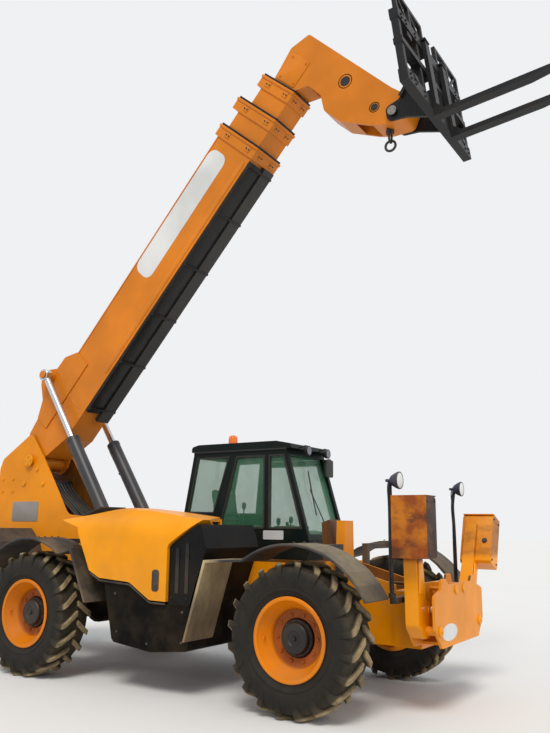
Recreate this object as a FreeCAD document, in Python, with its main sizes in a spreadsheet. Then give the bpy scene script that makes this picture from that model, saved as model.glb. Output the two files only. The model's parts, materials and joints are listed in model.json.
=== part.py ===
import FreeCAD, Part
import math
import os
import Sketcher
from FreeCAD import Placement, Rotation, Vector

# A four-section telescopic handler with two front stabilisers.
# Millimetres. +X forward, +Y to the machine's left, +Z up, ground at Z = 0.
# The dimensions below are measured from the point on the ground midway
# between the axles. The whole model is then set back by mid_x, so that its
# origin lies under the middle of its length.

# Driving dimensions: name, value, meaning
SIZES = [
    ("wheelbase", 3150, "front axle to rear axle"),
    ("overall_width", 2424, "over the tyres"),
    ("tyre_radius", 610, "tyre, at the tips of the lugs"),
    ("tyre_width", 400, "tyre, side to side"),
    ("lug_height", 34, "tyre lug, above the casing"),
    ("lug_count", 20, "tyre lugs on each side"),
    ("rim_radius", 336, "rim flange"),
    ("rim_barrel", 304, "rim, inside of the flange"),
    ("rim_wall", 15, "rim, wall thickness"),
    ("dish_radius", 235, "rim, mouth of the dish"),
    ("hub_radius", 155, "hub recess"),
    ("wheel_sides", 36, "flats that make up a tyre or rim"),
    ("kingpin_in", 212, "steering pivot, inside the middle of the wheel"),
    ("kingpin_radius", 62, "steering knuckle boss"),
    ("yoke_reach", 172, "axle yoke arm, above and below the axle"),
    ("yoke_wall", 42, "axle yoke arm, thickness"),
    ("axle_radius", 92, "axle casing"),
    ("diff_radius", 185, "axle centre housing"),
    ("run_gap", 5, "clearance between moving pieces"),
    ("seat_gap", 0.3, "clearance between a piece and its seat"),
    ("plate", 22, "frame side plate"),
    ("frame_y", 258, "frame side plates, outer face"),
    ("frame_low", 520, "frame, underside between the axles"),
    ("frame_arch", 800, "frame, underside over the axles"),
    ("frame_top", 1160, "frame, top beside the cab"),
    ("frame_front", 2110, "frame side plates, front end"),
    ("tail_x", 3380, "tail, behind the middle"),
    ("pivot_x", 2750, "boom pivot, behind the middle"),
    ("pivot_z", 2270, "boom pivot, above the ground"),
    ("pivot_pin", 55, "boom pivot pin radius"),
    ("boom_angle", 48.5, "boom as it stands, above level"),
    ("outer_width", 433, "outer boom section"),
    ("outer_low", 251, "outer section, underside below the pivot line"),
    ("outer_high", 375, "outer section, top above the pivot line"),
    ("outer_end", 4570, "outer section, front end from the pivot"),
    ("mid1_width", 379, "second section"),
    ("mid1_low", 223, "second section, underside"),
    ("mid1_high", 335, "second section, top"),
    ("mid1_end", 4930, "second section, front end"),
    ("mid2_width", 325, "third section"),
    ("mid2_low", 195, "third section, underside"),
    ("mid2_high", 262, "third section, top"),
    ("mid2_end", 5290, "third section, front end"),
    ("inner_width", 271, "inner section"),
    ("inner_low", 167, "inner section, underside"),
    ("inner_high", 189, "inner section, top"),
    ("boom_wall", 10, "boom section wall"),
    ("collar_length", 135, "collar at the front end of a section"),
    ("section_gap", 6, "collar to the section inside it"),
    ("lift_y", 340, "lift cylinders, from the centre plane"),
    ("lift_radius", 76, "lift cylinder barrel"),
    ("lift_rod", 42, "lift cylinder rod"),
    ("lift_foot_x", 1206, "lift cylinder foot, behind the middle"),
    ("lift_foot_z", 1400, "lift cylinder foot, above the ground"),
    ("lift_eye_s", 953, "lift cylinder eye, along the boom"),
    ("lift_eye_n", 510, "lift cylinder eye, above the pivot line"),
    ("hinge_pin", 8, "hinge pin radius, bonnet and door"),
    ("hood_hinge_y", 446, "bonnet hinge, from the centre plane"),
    ("hood_hinge_z", 1553, "bonnet hinge, above the ground"),
    ("door_hinge_x", 215, "door hinge, behind the middle"),
    ("door_hinge_out", 14, "door hinge, outside the cab side"),
    ("fork_pin_s", 5754, "carriage pivot, along the boom"),
    ("fork_pin_n", -1478, "carriage pivot, above the pivot line"),
    ("fork_pin", 34, "carriage pivot pin radius"),
    ("nose_width", 290, "nose, over its side plates"),
    ("fork_lean", 7, "carriage as it stands, tipped back"),
    ("carriage_width", 1780, "fork carriage"),
    ("carriage_low", 220, "carriage, lower edge below its pivot"),
    ("carriage_high", 560, "carriage, top bar above its pivot"),
    ("backrest_high", 800, "load backrest, top above the carriage pivot"),
    ("carriage_back", 340, "carriage, back face ahead of its pivot"),
    ("carriage_depth", 90, "carriage, front to back"),
    ("fork_length", 1220, "fork tine, ahead of its heel"),
    ("fork_width", 110, "fork tine"),
    ("fork_thick", 50, "fork tine, at the heel"),
    ("fork_drop", 80, "fork heel, below the carriage"),
    ("fork_tip", 38, "fork tip, thickness of its taper"),
    ("fork_y", 240, "fork tine, from the centre plane"),
    ("leg_pivot_y", 500, "stabiliser pivot, from the centre plane"),
    ("leg_pivot_z", 680, "stabiliser pivot, above the ground"),
    ("leg_back", 2375, "stabiliser leg, rear face"),
    ("leg_depth", 112, "stabiliser leg, front to back"),
    ("leg_pin", 36, "stabiliser pivot pin radius"),
    ("left_lean", 21, "left stabiliser, leaning out as it stands"),
    ("ram_foot_y", 100, "stabiliser cylinder foot, from the centre plane"),
    ("ram_foot_z", 985, "stabiliser cylinder foot, above the ground"),
    ("ram_pin", 16, "stabiliser cylinder pin radius"),
    ("ram_arm", 165, "stabiliser cylinder eye, from the leg pivot"),
    ("ram_arm_lean", -18, "stabiliser cylinder eye, outward of straight up on an upright leg"),
    ("ram_radius", 34, "stabiliser cylinder barrel"),
    ("ram_rod", 19, "stabiliser cylinder rod"),
    ("front_plate_y", 620, "front cross plate, half width"),
    ("cab_right", 332, "cab right side"),
    ("cab_inset", 40, "cab left side, inside the tyres"),
    ("cab_wall", 48, "cab post and wall thickness"),
    ("cab_roof_z", 2330, "cab, underside of the roof"),
    ("cab_floor_z", 960, "cab, underside of the floor"),
    ("glass", 6, "cab glass thickness"),
    ("seat_width", 460, "driver seat"),
    ("dash_in", 88, "dashboard, ends inside the cab sides"),
    ("tank_inset", 72, "fuel tank, outer side inside the tyres"),
    ("lamp_in", 432, "work lamps, inside the outside of the tyres"),
    ("bonnet_in", 452, "bonnet, inner side"),
    ("bonnet_inset", 77, "bonnet, outer side inside the tyres"),
    ("bonnet_wall", 12, "bonnet wall"),
    ("guard_gap", 168, "mudguard, underside outside the tyre"),
    ("guard_wall", 22, "mudguard thickness"),
    ("guard_reach", 22, "mudguard, inner edge inside the tyre"),
]

document = FreeCAD.newDocument("Telehandler")
sheet = document.addObject("Spreadsheet::Sheet", "Sizes")
for row, (alias, value, meaning) in enumerate(SIZES, start=1):
    sheet.set(f"A{row}", meaning)
    sheet.set(f"B{row}", str(value))
    sheet.setAlias(f"B{row}", alias)
document.recompute()


# A size with its value and the expression that binds it to the sheet
class Dim:
    def __init__(self, value, text):
        self.value = float(value)
        self.text = text

    def __add__(self, other):
        other = dim(other)
        return Dim(self.value + other.value, f"({self.text} + {other.text})")

    def __radd__(self, other):
        return dim(other) + self

    def __sub__(self, other):
        other = dim(other)
        return Dim(self.value - other.value, f"({self.text} - {other.text})")

    def __rsub__(self, other):
        return dim(other) - self

    def __mul__(self, other):
        other = dim(other)
        return Dim(self.value * other.value, f"({self.text} * {other.text})")

    __rmul__ = __mul__

    def __truediv__(self, other):
        other = dim(other)
        return Dim(self.value / other.value, f"({self.text} / {other.text})")

    def __neg__(self):
        return Dim(-self.value, f"(-1 * {self.text})")


def dim(number):
    if isinstance(number, Dim):
        return number
    return Dim(number, f"({float(number):.6f})")


def size(alias):
    return Dim(sheet.get(alias), f"Sizes.{alias}")


def cosine(angle):
    return Dim(math.cos(math.radians(angle.value)), f"cos({angle.text} * 1 deg)")


def sine(angle):
    return Dim(math.sin(math.radians(angle.value)), f"sin({angle.text} * 1 deg)")


# Frames: where a sub-part's own axes stand in the model
class Frame:
    def __init__(self, x, z, lean=None, y=0, turn=None):
        self.x = dim(x)
        self.y = dim(y)
        self.z = dim(z)
        self.lean = dim(0 if lean is None else lean)
        self.turn = turn

    def place(self, item, axis=Vector(0, -1, 0)):
        base = Vector(self.x.value, self.y.value, self.z.value)
        item.Placement = Placement(base, self.turn or Rotation(axis, self.lean.value))
        item.setExpression("Placement.Base.x", self.x.text)
        item.setExpression("Placement.Base.y", self.y.text)
        item.setExpression("Placement.Base.z", self.z.text)
        if self.lean.value:
            item.setExpression("Placement.Rotation.Angle", self.lean.text)
        return item


fork_lean = size("fork_lean")
boom_angle = size("boom_angle")
tip_reach = size("carriage_back") + size("carriage_depth") + size("fork_length")
tip_drop = size("carriage_low") + size("fork_drop") - size("fork_tip")
fork_x = (
    size("fork_pin_s") * cosine(boom_angle)
    - size("fork_pin_n") * sine(boom_angle)
    - size("pivot_x")
)
fork_z = (
    size("fork_pin_s") * sine(boom_angle)
    + size("fork_pin_n") * cosine(boom_angle)
    + size("pivot_z")
)
front_end = fork_x + tip_reach * cosine(fork_lean) + tip_drop * sine(fork_lean)
mid_x = (front_end - size("tail_x")) / 2

GROUND = Frame(-mid_x, 0)
BOOM = Frame(-size("pivot_x") - mid_x, size("pivot_z"), boom_angle)
FORKS = Frame(fork_x - mid_x, fork_z, fork_lean)

NODES = []


def keep(item):
    NODES.append(item)
    return item


def points_of(outline):
    return [(dim(u), dim(v)) for u, v in outline]


def outline_sketch(body, name, plane, offset, outline):
    sketch = body.newObject("Sketcher::SketchObject", name)
    planes = [f for f in body.Origin.OriginFeatures if f.Role == plane]
    sketch.AttachmentSupport = (planes[0], "")
    sketch.MapMode = "FlatFace"
    sketch.AttachmentOffset = Placement(Vector(0, 0, offset.value), Rotation())
    sketch.setExpression("AttachmentOffset.Base.z", offset.text)
    corners = points_of(outline)
    count = len(corners)
    for index, (u, v) in enumerate(corners):
        end_u, end_v = corners[(index + 1) % count]
        start = Vector(u.value, v.value, 0)
        end = Vector(end_u.value, end_v.value, 0)
        sketch.addGeometry(Part.LineSegment(start, end))
    for index in range(count):
        joined = Sketcher.Constraint("Coincident", index, 2, (index + 1) % count, 1)
        sketch.addConstraint(joined)
    for index, corner in enumerate(corners):
        for kind, place in zip(("DistanceX", "DistanceY"), corner):
            distance = Sketcher.Constraint(kind, -1, 1, index, 1, place.value)
            number = sketch.addConstraint(distance)
            sketch.setExpression(f"Constraints[{number}]", place.text)
    return sketch


UPRIGHT = "XZ_Plane"
LEVEL = "XY_Plane"
ACROSS = "YZ_Plane"


# A plate or block: an outline on one plane, from one depth to another.
# UPRIGHT outlines are (x, z) and run in y, LEVEL ones (x, y) in z and
# ACROSS ones (y, z) in x. rounds maps an outline's corner to its radius.
def plate(label, plane, outline, low, high, rounds=None, frame=GROUND):
    low = dim(low)
    high = dim(high)
    body = document.addObject("PartDesign::Body", label)
    body.Label = label
    offset = -high if plane == UPRIGHT else low
    sketch = outline_sketch(body, f"{label}_sketch", plane, offset, outline)
    pad = body.newObject("PartDesign::Pad", f"{label}_pad")
    pad.Profile = sketch
    length = high - low
    pad.Length = length.value
    pad.setExpression("Length", length.text)
    if rounds:
        document.recompute()
        round_corners(body, pad, label, plane, points_of(outline), rounds)
    if frame:
        frame.place(body)
    return body


def corner_edges(shape, plane, u, v):
    names = []
    for number, edge in enumerate(shape.Edges, start=1):
        ends = [vertex.Point for vertex in edge.Vertexes]
        if plane == UPRIGHT:
            places = [(point.x, point.z) for point in ends]
        elif plane == LEVEL:
            places = [(point.x, point.y) for point in ends]
        else:
            places = [(point.y, point.z) for point in ends]
        if all(math.dist(place, (u, v)) < 1e-3 for place in places):
            names.append(f"Edge{number}")
    return names


def round_corners(body, pad, label, plane, corners, rounds):
    feature = pad
    by_radius = {}
    for index, radius in rounds.items():
        by_radius.setdefault(dim(radius).text, (dim(radius), []))[1].append(index)
    for number, (radius, indices) in enumerate(by_radius.values(), start=1):
        edges = []
        for index in indices:
            u, v = corners[index]
            edges += corner_edges(feature.Shape, plane, u.value, v.value)
        fillet = body.newObject("PartDesign::Fillet", f"{label}_round{number}")
        fillet.Base = (feature, edges)
        fillet.Radius = radius.value
        fillet.setExpression("Radius", radius.text)
        document.recompute()
        feature = fillet


# The corners of a regular polygon across the Y axis, a flat at its foot
def ring(y, radius, sides):
    corners = []
    for index in range(sides):
        angle = math.radians(-90 + 360 / sides * (index + 0.5))
        corners.append(Vector(radius * math.cos(angle), y, radius * math.sin(angle)))
    return corners


def flat_face(corners):
    return Part.Face(Part.makePolygon(corners + corners[:1]))


# A flat sided solid along the Y axis through rings of (y, radius)
def lofted(outline, sides):
    rings = [ring(dim(y).value, dim(radius).value, sides) for y, radius in outline]
    faces = [flat_face(rings[0]), flat_face(rings[-1])]
    for low, high in zip(rings, rings[1:]):
        for index in range(sides):
            after = (index + 1) % sides
            faces.append(flat_face([low[index], low[after], high[after], high[index]]))
    solid = Part.makeSolid(Part.makeShell(faces))
    return solid if solid.Volume > 0 else solid.reversed()


def flat_sided(label, outline, sides):
    item = document.addObject("Part::Feature", label)
    item.Label = label
    item.Shape = lofted(outline, sides)
    return item


def box(label, x, y, z, frame=GROUND):
    item = document.addObject("Part::Box", label)
    item.Label = label
    names = ("Length", "Width", "Height")
    base = []
    for name, (low, high) in zip(names, (x, y, z)):
        low = dim(low)
        span = dim(high) - low
        setattr(item, name, span.value)
        item.setExpression(name, span.text)
        base.append(low)
    item.Placement = Placement(Vector(*[place.value for place in base]), Rotation())
    shift = (frame.x, frame.y, frame.z) if frame else (dim(0), dim(0), dim(0))
    for name, low, move in zip("xyz", base, shift):
        item.setExpression(f"Placement.Base.{name}", (low + move).text)
    return item


TURNS = {
    "X": Rotation(Vector(0, 1, 0), 90),
    "Y": Rotation(Vector(1, 0, 0), -90),
    "Z": Rotation(),
}


# A round bar from low to high along one axis, through the point (u, v)
def bar(label, axis, u, v, low, high, radius, frame=None):
    item = document.addObject("Part::Cylinder", label)
    item.Label = label
    radius = dim(radius)
    span = dim(high) - dim(low)
    item.Radius = radius.value
    item.setExpression("Radius", radius.text)
    item.Height = span.value
    item.setExpression("Height", span.text)
    low = dim(low)
    place = {"X": (low, dim(u), dim(v)), "Y": (dim(u), low, dim(v)), "Z": (dim(u), dim(v), low)}[axis]
    shift = (frame.x, frame.y, frame.z) if frame else (dim(0), dim(0), dim(0))
    base = [start + move for start, move in zip(place, shift)]
    item.Placement = Placement(Vector(*[number.value for number in base]), TURNS[axis])
    for name, number in zip("xyz", base):
        item.setExpression(f"Placement.Base.{name}", number.text)
    return item


def fuse(label, shapes, frame=None):
    item = document.addObject("Part::MultiFuse", label)
    item.Label = label
    item.Shapes = shapes
    if frame:
        frame.place(item)
    return item


def overlap(label, shapes):
    item = document.addObject("Part::MultiCommon", label)
    item.Label = label
    item.Shapes = shapes
    return item


def cut(label, base, tools, frame=None):
    item = document.addObject("Part::Cut", label)
    item.Label = label
    item.Base = base
    item.Tool = tools[0] if len(tools) == 1 else fuse(f"{label}_tools", tools)
    if frame:
        frame.place(item)
    return item


# Main frame: two side plates that rise into the boom tower at the rear,
# tied by floor plates, cross tubes and the pins of the boom and cylinders
half_base = size("wheelbase") / 2
half_width = size("overall_width") / 2
axle_z = size("tyre_radius")
frame_y = size("frame_y")
plate_in = frame_y - size("plate")
tail = -size("tail_x")
TOWER_SIDE = [
    (tail + 60, 860),
    (tail + 60, 2190),
    (-3266, 2310),
    (-size("pivot_x") - 19, size("pivot_z") + 344),
    (-size("pivot_x") + 236, size("pivot_z") + 21),
    (-2245, 1911),
    (-2045, 1617),
    (-1363, 1562),
    (-1040, 1500),
    (-900, 1260),
    (-700, size("frame_top")),
    (1560, size("frame_top")),
    (size("frame_front"), 1010),
    (size("frame_front"), 500),
    (half_base + 320, 500),
    (half_base + 220, size("frame_arch")),
    (half_base - 220, size("frame_arch")),
    (half_base - 520, size("frame_low")),
    (520 - half_base, size("frame_low")),
    (220 - half_base, size("frame_arch")),
    (-half_base - 300, size("frame_arch")),
    (-half_base - 560, 860),
]
TOWER_ROUNDS = {3: 60, 6: 120, 9: 80, 1: 80}
side_plates = []
for name, side in (("left", 1), ("right", -1)):
    edges = sorted((side * plate_in, side * frame_y), key=lambda edge: edge.value)
    side_plates.append(
        plate(f"frame_{name}", UPRIGHT, TOWER_SIDE, edges[0], edges[1], TOWER_ROUNDS, None)
    )
# Floor and cross plates: name, x range, z range
CROSS_PLATES = [
    ("belly", (520 - half_base, half_base - 520), (size("frame_low"), size("frame_low") + 20)),
    ("rear_deck", (tail + 60, -2420), (860, 884)),
    ("tower_back", (tail + 60, tail + 84), (860, 2100)),
    ("rear_arch", (-2300, -900), (size("frame_arch") + 60, size("frame_arch") + 82)),
    ("front_deck", (800, size("frame_front")), (size("frame_arch") + 60, size("frame_arch") + 82)),
    ("nose_wall", (size("frame_front") - 24, size("frame_front")), (600, 960)),
]
cross_plates = [
    box(f"frame_{name}", x, (-plate_in - 1, plate_in + 1), z, None)
    for name, x, z in CROSS_PLATES
]
pivot_pin = bar(
    "frame_boom_pin", "Y", -size("pivot_x"), size("pivot_z"),
    -frame_y - 30, frame_y + 30, size("pivot_pin"),
)
lift_reach = size("lift_y") + 62
foot_pin = bar(
    "frame_foot_pin", "Y", -size("lift_foot_x"), size("lift_foot_z"),
    -lift_reach, lift_reach, 40,
)
# Bonnet hinges: arm, front to back, and the pin that it carries
hinge_y = size("hood_hinge_y")
hinge_z = size("hood_hinge_z")
hinge_parts = []
for name, arm_x, pin_x in (("rear", (-925, -900), (-910, -835)), ("fore", (195, 218), (135, 200))):
    post_y = (-frame_y - 32, -frame_y + 1)
    arm_y = (-hinge_y - 12, -frame_y)
    hinge_parts.append(box(f"hinge_post_{name}", arm_x, post_y, (1080, hinge_z + 12), None))
    hinge_parts.append(box(f"hinge_arm_{name}", arm_x, arm_y, (hinge_z - 14, hinge_z + 12), None))
    hinge_parts.append(bar(f"hinge_pin_{name}", "X", -hinge_y, hinge_z, *pin_x, size("hinge_pin")))
keep(fuse("chassis_frame", side_plates + cross_plates + [pivot_pin, foot_pin] + hinge_parts, GROUND))

# Counterweight casting behind the rear wheels, slotted for the tower
weight = plate(
    "weight_block", UPRIGHT,
    [
        (tail, 780), (tail, 1330), (tail + 90, 1450), (-2640, 1450),
        (-2480, 1300), (-2350, 1010), (-2420, 700), (tail + 160, 640),
    ],
    212 - half_width, half_width - 212, {0: 60, 2: 60, 7: 60}, None,
)
slot = box(
    "weight_slot", (tail + 60 - size("seat_gap"), -2000),
    (-frame_y - size("seat_gap"), frame_y + size("seat_gap")), (860 - size("seat_gap"), 2000), None,
)
keep(cut("counterweight", weight, [slot], GROUND))

# Front frame: a box ahead of the axle, a rear and a front cross plate for
# the stabilisers, the pivot pins and the boom rest
leg_back = size("leg_back")
slot_middle = leg_back + size("leg_depth") + size("run_gap") + size("ram_radius") + 6
front_x = slot_middle + size("ram_radius") + 12
front_y = size("front_plate_y")
frame_front = size("frame_front")
CROSS_OUTLINE = [
    (-front_y, 700), (-front_y, 960), (-470, 1000), (-430, 1085), (-330, 1085), (-290, 1035),
    (290, 1035), (330, 1085), (430, 1085), (470, 1000), (front_y, 960), (front_y, 700), (470, 545),
    (-470, 545),
]
CROSS_ROUNDS = {3: 40, 4: 40, 7: 40, 8: 40, 1: 30, 10: 30}
front_plate = plate(
    "front_cross_plate", ACROSS, CROSS_OUTLINE, front_x, front_x + 22, CROSS_ROUNDS, None
)
rear_plate = plate(
    "rear_cross_plate", ACROSS, CROSS_OUTLINE, leg_back - 27, leg_back - size("run_gap"),
    CROSS_ROUNDS, None,
)
front_box = box(
    "front_box", (frame_front, leg_back - 20), (-300, 300), (500, 960), None
)
front_floor = box("front_floor", (leg_back - 20, front_x + 10), (-300, 300), (545, 567), None)
front_post = box("front_post", (leg_back - 20, front_x + 10), (-30, 30), (545, 1035), None)
leg_pins = []
for name, side in (("left", 1), ("right", -1)):
    leg_pins.append(
        bar(
            f"front_pin_{name}", "X", side * size("leg_pivot_y"), size("leg_pivot_z"),
            leg_back - 20, front_x + 10, size("leg_pin"),
        )
    )
    leg_pins.append(
        bar(
            f"front_ram_pin_{name}", "X", side * size("ram_foot_y"), size("ram_foot_z"),
            leg_back - 20, front_x + 10, size("ram_pin"),
        )
    )
rest = plate(
    "boom_rest", UPRIGHT,
    [(1300, 1170), (1300, 1250), (1285, 1540), (1375, 1570), (1400, 1300), (1440, 1290), (1450, 1560),
     (1535, 1560), (1540, 1170)],
    -90, 90, None, None,
)
keep(fuse("front_frame", [front_plate, rear_plate, front_box, front_floor, front_post] + leg_pins, GROUND))
rest_foot = box("rest_foot", (1290, 1550), (-frame_y, frame_y),
                (size("frame_top") + size("seat_gap"), size("frame_top") + 24), None)
keep(fuse("boom_cradle", [rest, rest_foot], GROUND))

# Engine, one plain block under the bonnet
keep(box("engine", (-400, 180), (-1000, -frame_y - size("seat_gap")), (1040, 1400)))

# Axles, steering knuckles, wheels
wheel_y = half_width - size("tyre_width") / 2
kingpin_y = wheel_y - size("kingpin_in")
yoke = size("yoke_reach")
yoke_wall = size("yoke_wall")
casing_end = kingpin_y - 150
for axle, place in (("front", half_base), ("rear", -half_base)):
    casing = flat_sided(
        f"{axle}_casing",
        [
            (-casing_end, size("axle_radius")), (-260, size("axle_radius") + 8), (-150, size("diff_radius")),
            (110, size("diff_radius")), (240, size("axle_radius") + 8), (casing_end, size("axle_radius")),
        ],
        16,
    )
    casing.Placement = Placement(Vector(place.value, 0, axle_z.value), Rotation())
    casing.setExpression("Placement.Base.x", place.text)
    casing.setExpression("Placement.Base.z", axle_z.text)
    pads = [
        box(f"{axle}_mount_{name}", (place - 75, place + 75), (side - 26, side + 26),
            (axle_z + 60, size("frame_arch") - size("seat_gap")), None)
        for name, side in (("left", plate_in - 10), ("right", 10 - plate_in))
    ]
    arms = []
    for name, side in (("left", 1), ("right", -1)):
        low, high = sorted((side * (casing_end - 40), side * (kingpin_y + 60)), key=lambda y: y.value)
        root = sorted((side * (casing_end - 60), side * (casing_end + 12)), key=lambda y: y.value)
        arms.append(box(f"{axle}_{name}_root", (place - 60, place + 60), root,
                        (axle_z - yoke, axle_z + yoke), None))
        for level, base in (("top", axle_z + yoke - yoke_wall), ("foot", axle_z - yoke)):
            arms.append(box(f"{axle}_{name}_{level}", (place - 60, place + 60), (low, high),
                            (base, base + yoke_wall), None))
    keep(fuse(f"{axle}_axle", [casing] + pads + arms, GROUND))


# Tyre: a flat sided casing with chevron lugs set round it
wheel_sides = int(size("wheel_sides").value)
half_tyre = size("tyre_width") / 2
bead_y = half_tyre * 0.80
rim_seat = size("rim_radius") - 22


def tyre_shape():
    radius = size("tyre_radius").value
    half = half_tyre.value
    seat = rim_seat.value
    lug = size("lug_height").value
    crown = radius - lug
    bead = bead_y.value
    casing = lofted(
        [
            (-bead, seat + 26), (-half, seat + 120), (-half * 0.97, crown - 70), (-half * 0.80, crown - 10),
            (half * 0.80, crown - 10), (half * 0.97, crown - 70), (half, seat + 120), (bead, seat + 26),
        ],
        wheel_sides,
    )
    bore = lofted([(-half, seat), (half, seat)], wheel_sides)
    count = int(size("lug_count").value)
    lugs = []
    for side in (1, -1):
        for index in range(count):
            turn = 360.0 / count * (index + (0.5 if side > 0 else 0))
            edges = [(4, -58), (4, -4), (half * 0.93, 58), (half * 0.93, 12)]
            corners = [Vector(x, side * y, crown - 40) for y, x in edges]
            face = Part.Face(Part.makePolygon(corners + corners[:1]))
            block = face.extrude(Vector(0, 0, 60 + lug))
            block.rotate(Vector(0, 0, 0), Vector(0, 1, 0), turn)
            lugs.append(block)
    tips = radius / math.cos(math.pi / wheel_sides)
    envelope = lofted([(-half, tips), (half, tips)], wheel_sides)
    blocks = Part.makeCompound(lugs).common(envelope)
    return casing.fuse(blocks.Solids).cut(bore).removeSplitter()


# Rim: flanges and seat outside, a dish with a hub recess in its face, and
# a cavity round the hub behind
def rim_shape():
    wall = size("rim_wall").value
    lip = bead_y.value + size("seat_gap").value
    flange = size("rim_radius").value
    throat = size("rim_barrel").value
    seat = rim_seat.value - size("seat_gap").value
    dish = size("dish_radius").value
    recess = size("hub_radius").value
    outside = lofted([(-lip - 14, flange), (-lip, flange)], wheel_sides)
    outside = outside.fuse([
        lofted([(-lip - 1, seat), (lip + 1, seat)], wheel_sides),
        lofted([(lip, flange), (lip + 14, flange)], wheel_sides),
    ])
    front = lofted([(50, dish), (lip + 15, throat)], wheel_sides)
    pocket = lofted([(-12, recess), (60, recess)], wheel_sides)
    rear = lofted([(-lip - 15, throat - 6), (-120, throat - 10), (26, dish - 20)], wheel_sides)
    hub = lofted([(-lip - 20, recess + wall), (30, recess + wall)], wheel_sides)
    behind = lofted([(-lip - 20, recess + wall + 1), (-76, recess + wall + 1)], wheel_sides)
    cavity = rear.cut(hub).fuse(rear.common(behind))
    return outside.cut([front, pocket, cavity]).removeSplitter()


tyre = tyre_shape()
rim_solid = rim_shape()
for axle, place in (("front", half_base), ("rear", -half_base)):
    for name, side in (("left", 1), ("right", -1)):
        base = Vector((place - mid_x).value, side * wheel_y.value, axle_z.value)
        turn = Rotation(Vector(0, 0, 1), 0 if side > 0 else 180)
        rim = document.addObject("Part::Feature", f"{axle}_{name}_rim")
        rim.Label = f"{axle}_{name}_rim"
        rim.Shape = rim_solid
        rim.Placement = Placement(base, turn)
        rim.setExpression("Placement.Base.x", (place - mid_x).text)
        rim.setExpression("Placement.Base.y", (side * wheel_y).text)
        rim.setExpression("Placement.Base.z", axle_z.text)
        keep(rim)
        rubber = document.addObject("Part::Feature", f"{axle}_{name}_tyre")
        rubber.Label = f"{axle}_{name}_tyre"
        rubber.Shape = tyre
        rubber.Placement = Placement(base, turn)
        keep(rubber)
        stub = wheel_y - 76 - size("seat_gap")
        spindle = sorted((side * (kingpin_y - 20), side * stub), key=lambda y: y.value)
        pin_reach = yoke - yoke_wall - size("seat_gap")
        boss = bar(f"{axle}_{name}_boss", "Z", place, side * kingpin_y,
                   axle_z - pin_reach, axle_z + pin_reach, size("kingpin_radius"))
        neck = flat_sided(f"{axle}_{name}_neck", [(spindle[0], 78), (spindle[1], 78)], 16)
        neck.Placement = Placement(Vector(place.value, 0, axle_z.value), Rotation())
        arm = box(f"{axle}_{name}_arm", (place - 190, place - 20),
                  sorted((side * (kingpin_y - 46), side * (kingpin_y - 6)), key=lambda y: y.value),
                  (axle_z - 26, axle_z + 26), None)
        keep(fuse(f"{axle}_{name}_knuckle", [boss, neck, arm], GROUND))


# Boom sections: open boxes that slide in each other, each with a collar
def section(label, width, low, high, start, end, inside, top_proud, low_proud):
    wall = size("boom_wall")
    shell = box(f"{label}_outside", (start, end), (-width / 2, width / 2), (-low, high), None)
    hollow = box(f"{label}_inside", (start - 10, end + 10), (-width / 2 + wall, width / 2 - wall),
                 (-low + wall, high - wall), None)
    tube = cut(f"{label}_tube", shell, [hollow])
    if inside is None:
        return [tube]
    in_width, in_low, in_high = inside
    gap = size("section_gap")
    back = end - size("collar_length")
    ring = box(f"{label}_collar_outside", (back, end + 1), (-width / 2 - 14, width / 2 + 14),
               (-low - low_proud, high + top_proud), None)
    mouth = box(f"{label}_mouth", (back - 10, end + 10), (-in_width / 2 - gap, in_width / 2 + gap),
                (-in_low - gap, in_high + gap), None)
    seat = size("seat_gap")
    pads = []
    # Wear pads in the collar: name, y range, z range
    for name, wide, tall in (
        ("low", (-in_width / 3, in_width / 3), (-in_low - gap - 1, -in_low - seat)),
        ("top", (-in_width / 3, in_width / 3), (in_high + seat, in_high + gap + 1)),
        ("left", (in_width / 2 + seat, in_width / 2 + gap + 1), (-in_low / 2, in_high / 2)),
        ("right", (-in_width / 2 - gap - 1, -in_width / 2 - seat), (-in_low / 2, in_high / 2)),
    ):
        pads.append(box(f"{label}_pad_{name}", (back + 10, end - 4), wide, tall, None))
    return [tube, cut(f"{label}_collar", ring, [mouth])] + pads


outer_size = (size("outer_width"), size("outer_low"), size("outer_high"))
mid1_size = (size("mid1_width"), size("mid1_low"), size("mid1_high"))
mid2_size = (size("mid2_width"), size("mid2_low"), size("mid2_high"))
inner_size = (size("inner_width"), size("inner_low"), size("inner_high"))
collar = size("collar_length")
outer_pieces = section("outer", *outer_size, 560, size("outer_end") + collar, mid1_size, 42, 20)
half_outer = size("outer_width") / 2
OUTER_ROOT = [
    (-150, 0), (-105, 140), (198, 314), (448, 343), (600, size("outer_high")), (700, size("outer_high")),
    (700, -size("outer_low")), (575, -size("outer_low")), (155, -120), (60, -160), (-80, -140),
]
ROOT_ROUNDS = {0: 90, 10: 60, 9: 60}
root_plates = []
EAR = [
    (430, 335), (640, 430), (760, 600), (845, 672), (960, 646), (1077, 515), (1261, 506), (1430, 375),
    (1430, 120), (430, 120),
]
EAR_ROUNDS = {3: 50, 4: 60, 6: 60}
for name, side in (("left", 1), ("right", -1)):
    inner_face = half_outer - 22
    root = sorted((side * inner_face, side * half_outer), key=lambda y: y.value)
    ear = sorted((side * half_outer, side * (half_outer + 14)), key=lambda y: y.value)
    root_plates.append(plate(f"outer_root_{name}", UPRIGHT, OUTER_ROOT, *root, ROOT_ROUNDS, None))
    root_plates.append(plate(f"outer_ear_{name}", UPRIGHT, EAR, *ear, EAR_ROUNDS, None))
    boss_end = size("lift_y") - size("lift_rod") - size("seat_gap")
    boss = sorted((side * (half_outer + 5), side * boss_end), key=lambda y: y.value)
    root_plates.append(bar(f"outer_boss_{name}", "Y", size("lift_eye_s"), size("lift_eye_n"), *boss, 62))
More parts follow.
